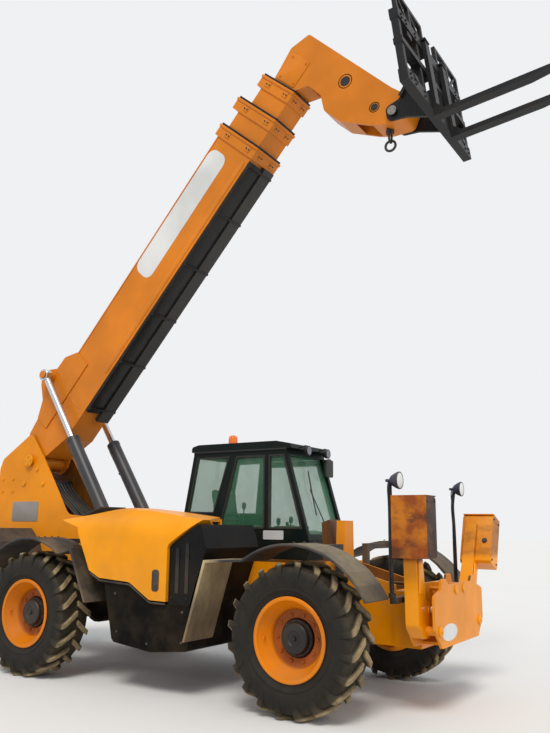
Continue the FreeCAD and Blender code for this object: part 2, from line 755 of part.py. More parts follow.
ear_deck = plate(
    "outer_ear_deck", UPRIGHT,
    [(640, 380), (760, 560), (850, 640), (950, 620), (1070, 480), (1250, 470), (1400, 360)],
    -half_outer - 1, half_outer + 1, None, None,
)
sleeve = bar("outer_sleeve", "Y", 0, 0, -half_outer, half_outer, size("pivot_pin") + 50)
bore = bar("outer_bore", "Y", 0, 0, -half_outer - 20, half_outer + 20, size("pivot_pin") + 0.3)
boom_wall = size("boom_wall")
clearing = box(
    "outer_clearing", (556, 1500), (-half_outer + boom_wall, half_outer - boom_wall),
    (-size("outer_low") + boom_wall, size("outer_high") - boom_wall), None,
)
ROOT_FLOOR = [(160, -121), (575, -250), (640, -250), (640, -238), (580, -236), (165, -108)]
root_floor = plate(
    "outer_root_floor", UPRIGHT, ROOT_FLOOR, -half_outer + 1, half_outer - 1, None, None
)
ROOT_ROOF = [
    (198, 300), (448, 329), (600, 361), (640, 361), (640, 374), (600, 374), (448, 342), (198, 313),
]
root_roof = plate(
    "outer_root_roof", UPRIGHT, ROOT_ROOF, -half_outer + 1, half_outer - 1, None, None
)
solid_root = fuse("outer_solid", outer_pieces + root_plates + [ear_deck, sleeve, root_floor, root_roof])
keep(cut("boom_outer", solid_root, [bore, clearing], BOOM))
tray_top = -size("outer_low") - size("seat_gap")
tray_low = -size("outer_low") - 55
TRAY = [(900, tray_low), (size("outer_end"), tray_low), (size("outer_end"), tray_top), (900, tray_top)]
keep(plate("hose_tray", UPRIGHT, TRAY, 20, 205, None, BOOM))
second = section("mid1", *mid1_size, 700, size("mid1_end") + collar, mid2_size, 105, 14)
keep(fuse("boom_second", second, BOOM))
third = section("mid2", *mid2_size, 840, size("mid2_end") + collar, inner_size, 70, 14)
keep(fuse("boom_third", third, BOOM))
half_nose = size("nose_width") / 2
fork_s = size("fork_pin_s")
fork_n = size("fork_pin_n")
NOSE = [
    (5440, -165), (5440, 185), (5600, 200), (5830, 226), (6053, 111), (fork_s + 207, fork_n + 222),
    (fork_s + 216, fork_n - 66), (fork_s + 3, fork_n - 133), (5600, -1430), (5530, -1290), (5415, -950),
    (5425, -690), (5550, -520), (5570, -300),
]
NOSE_ROUNDS = {3: 40, 4: 40, 5: 60, 6: 90, 7: 60, 10: 120, 11: 90}
nose = plate("nose_block", UPRIGHT, NOSE, -half_nose, half_nose, NOSE_ROUNDS, None)
nose_slot = box("nose_slot", (5480, 6300), (-half_nose + 24, half_nose - 24), (fork_n + 148, -330), None)
nose_eyes = [
    bar("nose_eye_large", "Y", 5797, -703, -half_nose - 5, half_nose + 5, 58),
    bar("nose_eye_small", "Y", 5710, -1221, -half_nose - 5, half_nose + 5, 42),
    bar("nose_bore", "Y", fork_s, fork_n, -half_nose - 5, half_nose + 5, size("fork_pin") + 0.3),
]
inner_tube = section("inner", *inner_size, 980, 5460, None, 0, 0)
inner_solid = fuse("inner_solid", inner_tube + [nose])
keep(cut("boom_inner", inner_solid, [nose_slot] + nose_eyes, BOOM))

# Carriage pivot pin, and the fork carriage that hangs on it
pin_end = half_nose + 62
pin_body = bar("carriage_pin", "Y", 0, 0, -pin_end, pin_end, size("fork_pin"), FORKS)
keep(pin_body)
back = size("carriage_back")
depth = size("carriage_depth")
high = size("carriage_high")
low = -size("carriage_low")
half_carriage = size("carriage_width") / 2
carriage_parts = []
# Cross bars: name, lower edge, upper edge
for name, bar_low, bar_high in (("low", low, low + 130), ("top", high - 110, high), ("middle", 180, 240)):
    carriage_parts.append(box(f"carriage_{name}", (back, back + depth), (-half_carriage, half_carriage),
                              (bar_low, bar_high), None))
# Uprights, from the centre plane
for number, middle in enumerate((-860, -420, 420, 860), start=1):
    carriage_parts.append(box(f"carriage_upright_{number}", (back + 10, back + depth - 10),
                              (middle - 28, middle + 28), (low + 20, high - 20), None))
# Load backrest: a lattice on each side of the nose
backrest = size("backrest_high")
backrest_x = (back + 45, back + 85)
wing_in = half_nose + 40
for name, side in (("left", 1), ("right", -1)):
    span = sorted((side * wing_in, side * half_carriage), key=lambda y: y.value)
    top_z = (backrest - 40, backrest)
    carriage_parts.append(box(f"backrest_top_{name}", backrest_x, span, top_z, None))
    middles = (wing_in + 20, (wing_in + half_carriage) / 2, half_carriage - 20)
    for number, middle in enumerate(middles, start=1):
        post_y = (side * middle - 20, side * middle + 20)
        post_z = (high - 20, backrest - 20)
        carriage_parts.append(box(f"backrest_post_{name}_{number}", backrest_x, post_y, post_z, None))
LUG = [
    (-75, -75), (-75, 75), (75, 110), (back - 60, 300), (back + 20, 300), (back + 20, low + 10),
    (120, -110),
]
for name, side in (("left", 1), ("right", -1)):
    faces = sorted((side * (half_nose + 8), side * (half_nose + 40)), key=lambda y: y.value)
    carriage_parts.append(plate(f"carriage_lug_{name}", UPRIGHT, LUG, *faces, {0: 60, 1: 60}, None))
lug_bore = bar("carriage_bore", "Y", 0, 0, -half_nose - 60, half_nose + 60, size("fork_pin") + 0.3)
relief = box("carriage_relief", (back - 5, back + 62), (-half_nose - 7, half_nose + 7), (100, high + 5), None)
carriage_solid = fuse("carriage_solid", carriage_parts)
keep(cut("fork_carriage", carriage_solid, [lug_bore, relief], FORKS))
fork_back = back + depth + size("seat_gap")
heel = low - size("fork_drop")
thick = size("fork_thick")
tip = fork_back + size("fork_length") - size("seat_gap")
TINE = [
    (fork_back, high - 30), (fork_back, heel), (tip - 320, heel), (tip, heel + size("fork_tip")),
    (tip, heel + thick), (fork_back + 120, heel + thick), (fork_back + 44, heel + thick + 70),
    (fork_back + 40, high - 30),
]
for name, side in (("right", -1), ("left", 1)):
    middle = side * size("fork_y")
    keep(plate(f"fork_{name}", UPRIGHT, TINE, middle - size("fork_width") / 2,
               middle + size("fork_width") / 2, None, FORKS))


# Hydraulic cylinders: a barrel on its foot and a rod in it, along +X
def cylinder(label, frame, length, closed, radius, rod, eye, width, pin, names):
    span = dim(closed)
    barrel_tube = flat_sided(
        f"{label}_tube",
        [
            (eye * 0.7, radius), (span - eye - 45, radius), (span - eye - 42, radius + 5),
            (span - eye, radius + 5),
        ],
        16,
    )
    barrel_tube.Placement = Placement(Vector(0, 0, 0), Rotation(Vector(0, 0, 1), -90))
    bore = bar(f"{label}_bore", "X", 0, 0, eye * 0.7 + 50, span - eye + 1, rod + 0.3)
    foot = bar(f"{label}_foot", "Y", 0, 0, -width / 2, width / 2, eye)
    hole = bar(f"{label}_foot_hole", "Y", 0, 0, -width, width, pin + 0.3)
    barrel_body = cut(names[0], fuse(f"{label}_barrel_solid", [barrel_tube, foot]), [hole, bore], frame)
    inside = span - eye - eye * 0.7 - 50 - 5
    shaft = bar(f"{label}_shaft", "X", 0, 0, length - eye - inside, length - eye * 0.6, rod)
    head = bar(f"{label}_head", "Y", length, 0, -width / 2, width / 2, eye)
    eyelet = bar(f"{label}_head_hole", "Y", length, 0, -width, width, pin + 0.3)
    rod_body = cut(names[1], fuse(f"{label}_rod_solid", [shaft, head]), [eyelet], frame)
    return keep(barrel_body), keep(rod_body)


def ram_line(foot, head):
    length = math.dist(foot, head)
    angle = math.degrees(math.atan2(head[1] - foot[1], head[0] - foot[0]))
    return length, angle


def boom_point(s, n, angle):
    turn = math.radians(angle)
    x = s * math.cos(turn) - n * math.sin(turn) - size("pivot_x").value
    z = s * math.sin(turn) + n * math.cos(turn) + size("pivot_z").value
    return x, z


lift_foot = (-size("lift_foot_x").value, size("lift_foot_z").value)
lift_head = boom_point(size("lift_eye_s").value, size("lift_eye_n").value, boom_angle.value)
lift_length, lift_angle = ram_line(lift_foot, lift_head)
for name, side in (("left", 1), ("right", -1)):
    stand = Frame(lift_foot[0] - mid_x, lift_foot[1], lift_angle, side * size("lift_y"))
    cylinder(f"lift_{name}", stand, lift_length, 1400, size("lift_radius"), size("lift_rod"),
             dim(72), 2 * size("lift_rod"), dim(40), (f"lift_barrel_{name}", f"lift_rod_{name}"))

# Stabilisers: a leg on its pin, with its foot pad at the end, drawn upright
# about the pin and then leaned outward
LEG = [
    (-75, -60), (70, -60), (185, 40), (200, 560), (215, 960), (80, 960), (60, 560), (10, 240), (-60, 215),
    (-95, 150), (-95, 60),
]
LEG_ROUNDS = {0: 60, 1: 70, 2: 60, 8: 40, 9: 40, 10: 60}
PAD = [(120, 600), (150, 580), (335, 580), (335, 1070), (150, 1070), (120, 1050)]
ram_arm = size("ram_arm")
ram_lean = size("ram_arm_lean")
leg_z = size("leg_pivot_z")
leg_y = size("leg_pivot_y")
for name, side, lean in (("left", 1, size("left_lean")), ("right", -1, dim(0))):
    outline = [(side * y, z) for y, z in LEG]
    leg_plate = plate(f"leg_plate_{name}", ACROSS, outline, 0, size("leg_depth"), LEG_ROUNDS, None)
    pad_outline = [(side * y, z) for y, z in PAD]
    pad_block = plate(f"leg_foot_{name}", ACROSS, pad_outline, -42, size("leg_depth") + 150, None, None)
    hollow = box(f"leg_hollow_{name}", (-20, size("leg_depth") + 128),
                 sorted((dim(side * 100), dim(side * 309)), key=lambda y: y.value), (604, 1046), None)
    pad_shell = cut(f"leg_pad_{name}", pad_block, [hollow])
    hole = bar(f"leg_hole_{name}", "X", 0, 0, -20, size("leg_depth") + 20, size("leg_pin") + 0.3)
    ram_boss = bar(f"leg_ram_boss_{name}", "X", side * ram_arm * sine(ram_lean), ram_arm * cosine(ram_lean),
                   size("leg_depth") - 1, size("leg_depth") + size("run_gap") + 5, 30)
    leg_solid = fuse(f"leg_solid_{name}", [leg_plate, pad_shell, ram_boss])
    leg = cut(f"stabiliser_{name}", leg_solid, [hole])
    stand = Frame(leg_back - mid_x, leg_z, side * lean, side * leg_y)
    stand.place(leg, Vector(-1, 0, 0))
    keep(leg)
    arm_angle = math.radians(ram_lean.value + lean.value)
    ram_foot = (size("ram_foot_y").value, size("ram_foot_z").value)
    ram_head = (
        leg_y.value + ram_arm.value * math.sin(arm_angle),
        leg_z.value + ram_arm.value * math.cos(arm_angle),
    )
    ram_length, ram_angle = ram_line(ram_foot, ram_head)
    turn = Rotation(Vector(1, 0, 0), side * ram_angle).multiply(Rotation(Vector(0, 0, 1), side * 90))
    stand = Frame(slot_middle - mid_x, size("ram_foot_z"), None, side * size("ram_foot_y"), turn)
    cylinder(f"ram_{name}", stand, ram_length, 368, size("ram_radius"), size("ram_rod"), dim(30), dim(56),
             size("ram_pin"), (f"stabiliser_barrel_{name}", f"stabiliser_rod_{name}"))

# Cab: a hollow shell of posts and walls, roof, glass, door and fittings
wall = size("cab_wall")
cab_right = size("cab_right")
cab_left = half_width - size("cab_inset")
roof_z = size("cab_roof_z")
cab_floor = size("cab_floor_z")
seat_gap = size("seat_gap")
cab_middle = (cab_left + cab_right) / 2
CAB = [
    (-790, cab_floor), (-760, 1617), (-628, roof_z), (620, roof_z), (905, 1364), (905, 1240),
    (800, cab_floor),
]
CAB_IN = [
    (-790 + wall, cab_floor + wall), (-760 + wall, 1617), (-628 + wall, roof_z + 40),
    (620 - wall, roof_z + 40), (905 - wall, 1364), (905 - wall, 1240), (800 - wall, cab_floor + wall),
]
shell = plate("cab_outside", UPRIGHT, CAB, cab_right, cab_left, {5: 60, 6: 60}, None)
inside = plate("cab_inside", UPRIGHT, CAB_IN, cab_right + wall, cab_left - wall, None, None)
# Right side windows, seen from outside: rear, middle, front
WINDOWS = [
    ("rear", [(-700, 1640), (-580, 2260), (-130, 2260), (-330, 1640)]),
    ("middle", [(-245, 1480), (-25, 2260), (345, 2260), (345, 1480)]),
    ("front", [(410, 1480), (410, 2260), (590, 2260), (815, 1480)]),
]
openings = []
panes = []
pane_y = cab_right + 14
for name, outline in WINDOWS:
    openings.append(plate(
        f"cab_window_{name}", UPRIGHT, outline, cab_right - 10, cab_right + wall + 10, None, None
    ))
    panes.append(plate(f"pane_{name}", UPRIGHT, outline, pane_y, pane_y + size("glass"), None, None))
DOOR = [(-215, 1040), (-215, 1480), (-150, 2265), (590, 2265), (850, 1400), (850, 1250), (770, 1040)]
door_hole = plate("cab_door_hole", UPRIGHT, DOOR, cab_left - wall - 10, cab_left + 10, None, None)
rear_side = [(-700, 1640), (-580, 2260), (-235, 2260), (-290, 1640)]
left_y = cab_left - 14
openings.append(plate(
    "cab_window_left", UPRIGHT, rear_side, cab_left - wall - 10, cab_left + 10, None, None
))
panes.append(plate("pane_left", UPRIGHT, rear_side, left_y - size("glass"), left_y, None, None))
SCREEN = [(650, 2265), (900, 1420), (790, 1420), (540, 2265)]
openings.append(plate("cab_screen_hole", UPRIGHT, SCREEN, cab_right + 50, cab_left - 50, None, None))
openings.append(plate("cab_rear_hole", UPRIGHT, [(-660, 2265), (-790, 1660), (-680, 1660), (-550, 2265)],
                      cab_right + 50, cab_left - 50, None, None))
screen_pane = [(620 - 16, 2265), (620 - 16 + 255, 1420), (620 - 24 + 255, 1420), (620 - 24, 2265)]
panes.append(plate("pane_screen", UPRIGHT, screen_pane, cab_right + 50, cab_left - 50, None, None))
rear_pane = [(-628, 2265), (-741, 1660), (-733, 1660), (-620, 2265)]
panes.append(plate("pane_back", UPRIGHT, rear_pane, cab_right + 50, cab_left - 50, None, None))
door_x = -size("door_hinge_x")
door_y = cab_left + size("door_hinge_out")
ears = []
knuckles = []
straps = []
for name, level in (("low", 1180), ("top", 1420)):
    ears.append(bar(f"door_pin_{name}", "Z", door_x, door_y, level - 48, level + 48, size("hinge_pin")))
    for end, base in (("under", level - 52), ("over", level + 32)):
        ears.append(box(f"door_ear_{name}_{end}", (door_x - 34, door_x + 11), (cab_left - 1, door_y + 11),
                        (base, base + 20), None))
    knuckles.append(bar(f"door_knuckle_{name}", "Z", door_x, door_y, level - 30, level + 30, 13))
    knuckles.append(box(f"door_strap_{name}", (door_x, door_x + 60), (cab_left - 6, cab_left + 8),
                        (level - 30, level + 30), None))
    straps.append(bar(f"door_bore_{name}", "Z", door_x, door_y, level - 60, level + 60,
                      size("hinge_pin") + seat_gap))
shell_open = cut("cab_open_shell", shell, [inside, door_hole] + openings)
keep(fuse("cab_shell", [shell_open] + ears, GROUND))
keep(fuse("cab_glass", panes, GROUND))
keep(plate(
    "cab_roof", UPRIGHT,
    [
        (-660, roof_z + seat_gap), (-660, roof_z + 60), (-560, roof_z + 85), (500, roof_z + 85),
        (680, roof_z + 50), (700, roof_z + seat_gap),
    ],
    cab_right - 12, cab_left + 12, {1: 30, 4: 20},
))
gap = size("run_gap")
DOOR_LEAF = [(-210, 1045), (-210, 1480), (-146, 2260), (587, 2260), (845, 1399), (845, 1251), (767, 1045)]
DOOR_GLASS = [(-160, 1330), (-160, 1480), (-103, 2205), (547, 2205), (780, 1420), (780, 1330)]
leaf = plate("door_outline", UPRIGHT, DOOR_LEAF, cab_left - wall + 4, cab_left - 4, None, None)
light = plate("door_light", UPRIGHT, DOOR_GLASS, cab_left - wall - 10, cab_left + 10, None, None)
keep(cut("cab_door", fuse("door_solid", [leaf] + knuckles), [light] + straps, GROUND))
keep(plate("door_glass", UPRIGHT, DOOR_GLASS, cab_left - 26, cab_left - 20))
on_floor = cab_floor + wall + seat_gap
SEAT = [
    (-480, on_floor), (-480, 1380), (-560, 1960), (-470, 1970), (-370, 1480), (20, 1500), (40, 1400),
    (-60, 1380), (-100, on_floor),
]
SEAT_ROUNDS = {1: 60, 2: 40, 3: 40, 4: 60, 5: 40}
half_seat = size("seat_width") / 2
keep(plate("driver_seat", UPRIGHT, SEAT, cab_middle - half_seat, cab_middle + half_seat, SEAT_ROUNDS))
DASH = [(480, on_floor), (430, 1330), (520, 1460), (780, 1430), (820, 1250), (720, on_floor)]
dash = plate(
    "dash_block", UPRIGHT, DASH, cab_right + size("dash_in"), cab_left - size("dash_in"),
    {1: 50, 2: 60}, None,
)
column = bar("dash_column", "Z", 440, cab_middle, 1250, 1500, 28)
wheel = document.addObject("Part::Feature", "steering_ring")
rim_in = lofted([(-20, 172), (20, 172)], 20)
wheel.Shape = lofted([(-14, 190), (-7, 201), (7, 201), (14, 190)], 20).cut(rim_in)
wheel.Placement = Placement(Vector(440, cab_middle.value, 1490), Rotation(Vector(1, 0, 0), 90))
wheel.setExpression("Placement.Base.y", cab_middle.text)
spoke = box("steering_spoke", (260, 620), (cab_middle - 15, cab_middle + 15), (1482, 1498), None)
keep(fuse("dashboard", [dash, column, wheel, spoke], GROUND))
beacon = flat_sided("beacon_lens", [(0, 62), (85, 52), (108, 30), (115, 12)], 16)
stand = Frame(-205 - mid_x, roof_z + 85 + seat_gap, None, 505, Rotation(Vector(1, 0, 0), 90))
stand.place(beacon)
beacon.Label = "beacon"
keep(beacon)

# Side pods: engine cover and sill on the right, tank and steps on the left
bonnet_in = -size("bonnet_in")
bonnet_out = size("bonnet_inset") - half_width
hood_wall = size("bonnet_wall")
BONNET = [
    (-737, 1063), (-596, 997), (-205, 974), (51, 826), (245, 822), (245, 1322), (590, 1552), (-125, 1635),
    (-527, 1672), (-870, 1600), (-1230, 1545), (-950, 1474),
]
BONNET_IN = [
    (-712, 1045), (-596, 900), (-205, 850), (51, 760), (232, 760), (232, 1331), (540, 1538), (-135, 1620),
    (-527, 1657), (-870, 1585), (-1150, 1534), (-925, 1464),
]
BONNET_ROUNDS = {1: 40, 3: 60, 5: 60, 8: 300, 2: 120}
hood = plate("bonnet_outside", UPRIGHT, BONNET, bonnet_out, bonnet_in, BONNET_ROUNDS, None)
hood_void = plate("bonnet_void", UPRIGHT, BONNET_IN, bonnet_out + hood_wall, bonnet_in + 20, None, None)
# The dome across the bonnet (y, z), outside and inside its wall
DOME = [
    (bonnet_out, 700), (bonnet_out, 1500), (bonnet_out + 235, 1660), (bonnet_in, 1690), (bonnet_in, 700),
]
DOME_IN = [
    (bonnet_out + hood_wall, 690), (bonnet_out + hood_wall, 1494), (bonnet_out + 241, 1647),
    (bonnet_in + 20, 1678), (bonnet_in + 20, 690),
]
dome = plate("bonnet_dome", ACROSS, DOME, -1300, 700, {1: 220, 2: 300}, None)
INNER_ROUNDS = {1: dim(220) - hood_wall, 2: dim(300) - hood_wall}
dome_in = plate("bonnet_dome_in", ACROSS, DOME_IN, -1290, 690, INNER_ROUNDS, None)
CORNER = [(600, bonnet_out + 150), (720, bonnet_out + 150), (720, -380), (300, -380)]
cab_corner = plate("bonnet_cab_corner", LEVEL, CORNER, 1200, 1750, None, None)
hood_solid = overlap("bonnet_block", [hood, dome])
hood_space = overlap("bonnet_space", [hood_void, dome_in])
hood_shell = cut("bonnet_shell", hood_solid, [hood_space, cab_corner])
hood_parts = [hood_shell]
hood_bores = []
for name, reach, skin in (("rear", (-880, -840), 1588), ("fore", (140, 185), 1592)):
    hood_parts.append(bar(f"bonnet_knuckle_{name}", "X", -hinge_y, hinge_z, *reach, 16))
    strap_y = (-hinge_y - 20, -hinge_y - 6)
    hood_parts.append(box(f"bonnet_strap_{name}", reach, strap_y, (hinge_z, skin), None))
    hood_bores.append(bar(f"bonnet_bore_{name}", "X", -hinge_y, hinge_z, reach[0] - 5, reach[1] + 5,
                          size("hinge_pin") + seat_gap))
keep(cut("bonnet", fuse("bonnet_solid", hood_parts), hood_bores, GROUND))
SILL = [
    (-544, 930), (-415, 425), (60, 372), (497, 412), (503, 800), (200, 800), (30, 810), (-215, 950),
    (-580, 975),
]
keep(plate("engine_sill", UPRIGHT, SILL, bonnet_out + 30, -frame_y - seat_gap, {1: 60, 2: 80, 3: 40}))
cover_low = 800 + seat_gap
SIDE_COVER = [(253, cover_low), (253, 1309), (600, 1532), (670, 1300), (560, 1000), (500, cover_low)]
keep(plate("side_cover", UPRIGHT, SIDE_COVER, bonnet_out + 30, -frame_y - seat_gap, {1: 40, 2: 40}))
tank_top = cab_floor - seat_gap
tank_out = half_width - size("tank_inset")
TANK = [(-800, 560), (-800, tank_top), (640, tank_top), (640, 560), (540, 440), (-680, 440)]
tank = plate("tank_block", UPRIGHT, TANK, frame_y + seat_gap, tank_out, {0: 60, 3: 60}, None)
steps = [
    box(f"tank_step_{number}", (-180, 560), (tank_out - 280, tank_out + 60), (base, base + 190), None)
    for number, base in ((1, 470), (2, 700))
]
keep(cut("fuel_tank", tank, steps, GROUND))


# Mudguards: a bent sheet over each wheel, with a flap at the cab end
guard_in = half_width - size("tyre_width") - size("guard_reach")
guard_out = half_width - 6
guard_radius = size("tyre_radius") + size("guard_gap") + size("guard_wall")
guard_drop = dim(45)
guard_top = axle_z + guard_radius - guard_drop


def guard_shape(flap):
    wall = size("guard_wall").value
    outer_radius = guard_radius.value
    inner_radius = outer_radius - wall
    reach = math.radians(28), math.radians(125)

    def at(radius, angle):
        return Vector(radius * math.cos(angle), 0, radius * math.sin(angle))

    steps = 10
    angles = [reach[0] + (reach[1] - reach[0]) * step / steps for step in range(steps + 1)]
    knee = Vector(flap[0][0], 0, flap[0][1])
    end = Vector(flap[1][0], 0, flap[1][1])
    corners = [at(outer_radius, angle) for angle in angles]
    corners += [knee, end, end + Vector(wall, 0, 0), knee + Vector(wall, 0, -wall)]
    corners += [at(inner_radius, angle) for angle in reversed(angles)]
    face = Part.Face(Part.makePolygon(corners + corners[:1]))
    return face.extrude(Vector(0, (guard_out - guard_in).value, 0))


# Flap corners at the cab end, from the wheel centre: the knee, then the end
FLAPS = {
    ("front", "right"): ((-860, 640), (-1065, -60)),
    ("front", "left"): ((-650, 612), (-655, 560)),
    ("rear", "right"): ((-645, 705), (-880, 200)),
    ("rear", "left"): ((-700, 640), (-735, 500)),
}
for axle, place in (("front", half_base), ("rear", -half_base)):
    for name, side in (("left", 1), ("right", -1)):
        guard = document.addObject("Part::Feature", f"{axle}_{name}_sheet")
        guard.Shape = guard_shape(FLAPS[axle, name])
        turned_y = (side > 0) == (axle == "front")
        start_y = guard_in if turned_y else guard_out
        turn = Rotation(Vector(0, 0, 1), 0 if axle == "front" else 180)
        if axle == "front" and side < 0:
            start_y = -guard_out
        if axle == "rear" and side < 0:
            start_y = -guard_in
        level = axle_z - guard_drop
        guard.Placement = Placement(Vector(place.value, start_y.value, level.value), turn)
        guard.setExpression("Placement.Base.x", place.text)
        guard.setExpression("Placement.Base.y", start_y.text)
        stay_y = sorted((side * (frame_y + seat_gap), side * (guard_in + 60)), key=lambda y: y.value)
        stay_z = (guard_top - size("guard_wall") - 50, guard_top - 20)
        stay = box(f"{axle}_{name}_stay", (place - 30, place + 30), stay_y, stay_z, None)
        foot_y = sorted((side * (frame_y + seat_gap), side * (frame_y + 50)), key=lambda y: y.value)
        drop_bar = box(
            f"{axle}_{name}_stay_foot", (place - 30, place + 30), foot_y, (1010, guard_top - 30), None
        )
        keep(fuse(f"{axle}_{name}_mudguard", [guard, stay, drop_bar], GROUND))

# Work lamps on posts beside the stabilisers
lamp_y = half_width - size("lamp_in")
for name, side in (("left", 1), ("right", -1)):
    post = bar(f"lamp_post_{name}", "Z", leg_back - 70, side * lamp_y, 905, 1900, 17)
    foot_y = sorted((dim(side * 420), side * (lamp_y + 17)), key=lambda y: y.value)
    foot = box(f"lamp_foot_{name}", (leg_back - 87, leg_back - 27 - seat_gap), foot_y, (900, 950), None)
    lamp = flat_sided(f"lamp_head_{name}", [(0, 30), (18, 62), (70, 70), (78, 66)], 16)
    base = Vector((leg_back - 65).value, (side * lamp_y).value, 1880)
    lamp.Placement = Placement(base, Rotation(Vector(0, 0, 1), -90))
    lamp.setExpression("Placement.Base.x", (leg_back - 65).text)
    lamp.setExpression("Placement.Base.y", (side * lamp_y).text)
    keep(fuse(f"work_lamp_{name}", [post, foot, lamp], GROUND))

document.recompute()

broken = [item.Label for item in document.Objects if {"Invalid", "Error"} & set(item.State)]
if broken:
    raise RuntimeError(f"objects that failed: {broken}")
for item in NODES:
    if item.Shape.isNull() or not item.Shape.isValid() or not item.Shape.Solids:
        raise RuntimeError(f"no valid solid in {item.Label}")
os.makedirs("parts", exist_ok=True)
for item in NODES:
    item.Shape.exportStep(f"parts/{item.Label}.step")
print(len(NODES), "sub-parts written")
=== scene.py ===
# %% [markdown]
# # A telescopic handler, dressed for a studio picture
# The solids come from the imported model, at their real size. This script gives
# every one of them a finish, adds the small parts that only the eye needs, and
# sets up the camera, the floor and the light. All lengths are in metres, with
# +X forward, +Y to the machine's left and +Z up.

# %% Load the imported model
import json
import math

import bmesh
import bpy
from mathutils import Matrix, Vector


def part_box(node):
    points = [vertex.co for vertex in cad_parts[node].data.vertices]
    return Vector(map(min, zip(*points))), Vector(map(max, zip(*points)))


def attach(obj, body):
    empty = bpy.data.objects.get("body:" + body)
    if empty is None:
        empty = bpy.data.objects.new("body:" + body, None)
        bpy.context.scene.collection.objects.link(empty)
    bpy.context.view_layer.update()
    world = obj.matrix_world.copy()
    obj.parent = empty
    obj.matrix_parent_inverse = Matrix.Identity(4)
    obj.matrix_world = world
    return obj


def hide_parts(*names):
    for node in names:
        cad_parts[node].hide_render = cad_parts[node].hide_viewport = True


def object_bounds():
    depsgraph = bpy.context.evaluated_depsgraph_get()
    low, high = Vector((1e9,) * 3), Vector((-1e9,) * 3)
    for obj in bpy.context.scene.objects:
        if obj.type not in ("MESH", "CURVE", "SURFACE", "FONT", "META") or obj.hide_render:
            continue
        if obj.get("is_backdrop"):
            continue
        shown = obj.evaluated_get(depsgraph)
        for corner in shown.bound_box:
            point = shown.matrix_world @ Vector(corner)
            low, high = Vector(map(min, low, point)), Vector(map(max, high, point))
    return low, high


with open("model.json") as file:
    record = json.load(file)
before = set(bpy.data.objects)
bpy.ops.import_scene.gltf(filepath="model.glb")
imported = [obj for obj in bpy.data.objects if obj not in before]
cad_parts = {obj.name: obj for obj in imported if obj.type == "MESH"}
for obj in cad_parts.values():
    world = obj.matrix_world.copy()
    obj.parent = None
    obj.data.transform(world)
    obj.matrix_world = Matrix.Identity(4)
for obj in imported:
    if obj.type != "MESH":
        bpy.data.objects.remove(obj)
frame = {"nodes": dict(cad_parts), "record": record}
cad_low, cad_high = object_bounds()
print("solids span", [round(high - low, 3) for low, high in zip(cad_low, cad_high)])

# %% [markdown]
# ## Shader sums as plain expressions
# A finish is a small graph of nodes. Wiring each Math node by hand hides the
# idea, so one class wraps a socket and lets Python's own signs add the nodes:
# `dust * 0.5 + 0.1` makes a multiply and an add. Another class holds the
# material, and its one `node` method makes any other kind of node.

# %% A socket that can be added and multiplied
class Wire:
    def __init__(self, finish, socket):
        self.finish = finish
        self.socket = socket

    def maths(self, operation, *others, clamp=False):
        return self.finish.node(
            "ShaderNodeMath", {"operation": operation, "use_clamp": clamp}, self, *others
        )

    def __add__(self, other):
        return self.maths("ADD", other)

    def __mul__(self, other):
        return self.maths("MULTIPLY", other)

    def __sub__(self, other):
        return self.maths("SUBTRACT", other)

    def __rsub__(self, other):
        return (self * -1.0).maths("ADD", other)

    __radd__ = __add__
    __rmul__ = __mul__

    def clamped(self):
        return self.maths("ADD", 0.0, clamp=True)

    def between(self, low, high):
        """0 below low, 1 above high, with a soft step between them."""
        settings = {"interpolation_type": "SMOOTHSTEP"}
        return self.finish.node("ShaderNodeMapRange", settings, self, low, high)


# %% A finish: one material and its nodes
class Finish:
    def __init__(self, name):
        self.material = bpy.data.materials.new(name)
        self.material.use_nodes = True
        self.tree = self.material.node_tree
        self.shader = self.tree.nodes["Principled BSDF"]

    def node(self, kind, settings=None, *values, out=0, **named):
        made = self.tree.nodes.new(kind)
        for key, value in (settings or {}).items():
            setattr(made, key, value)
        for key, value in [*enumerate(values), *named.items()]:
            self.plug(made.inputs[key], value)
        return Wire(self, made.outputs[out])

    def plug(self, socket, value):
        if isinstance(value, Wire):
            self.tree.links.new(value.socket, socket)
        elif value is not None:
            socket.default_value = value

    def mix(self, factor, first, second):
        """A blend of two colours, each a colour or a wire."""
        made = self.tree.nodes.new("ShaderNodeMix")
        made.data_type = "RGBA"
        self.plug(made.inputs["Factor"], factor)
        for socket, colour in ((made.inputs[6], first), (made.inputs[7], second)):
            self.plug(socket, colour)
        return Wire(self, made.outputs[2])

    def place(self, scale=(1, 1, 1), turn=(0, 0, 0)):
        """Object coordinates, stretched or turned."""
        spot = self.node("ShaderNodeTexCoord", None, out="Object")
        return self.node("ShaderNodeMapping", None, spot, Scale=scale, Rotation=turn)

    def noise(self, scale, detail=4.0, rough=0.55, stretch=(1, 1, 1)):
        return self.node(
            "ShaderNodeTexNoise", None, Vector=self.place(stretch), Scale=scale,
            Detail=detail, Roughness=rough,
        )

    def spot(self, way="Z"):
        """The point's own X, Y or Z in metres; Z is its height above the ground."""
        spot = self.node("ShaderNodeTexCoord", None, out="Object")
        return self.node("ShaderNodeSeparateXYZ", None, spot, out=way)

    def facing(self, way="Z"):
        """1 on a face that looks along this axis, 0 across it, -1 against it."""
        normal = self.node("ShaderNodeNewGeometry", None, out="Normal")
        return self.node("ShaderNodeSeparateXYZ", None, normal, out=way)

    def written(self, name):
        """A value that was written on the mesh itself, corner by corner."""
        return self.node("ShaderNodeAttribute", {"attribute_name": name}, out="Fac")

    def bump(self, height, depth, strength=1.0):
        return self.node("ShaderNodeBump", None, Strength=strength, Distance=depth, Height=height)

    def set(self, **sockets):
        for key, value in sockets.items():
            self.plug(self.shader.inputs[key.replace("_", " ")], value)
        return self.material


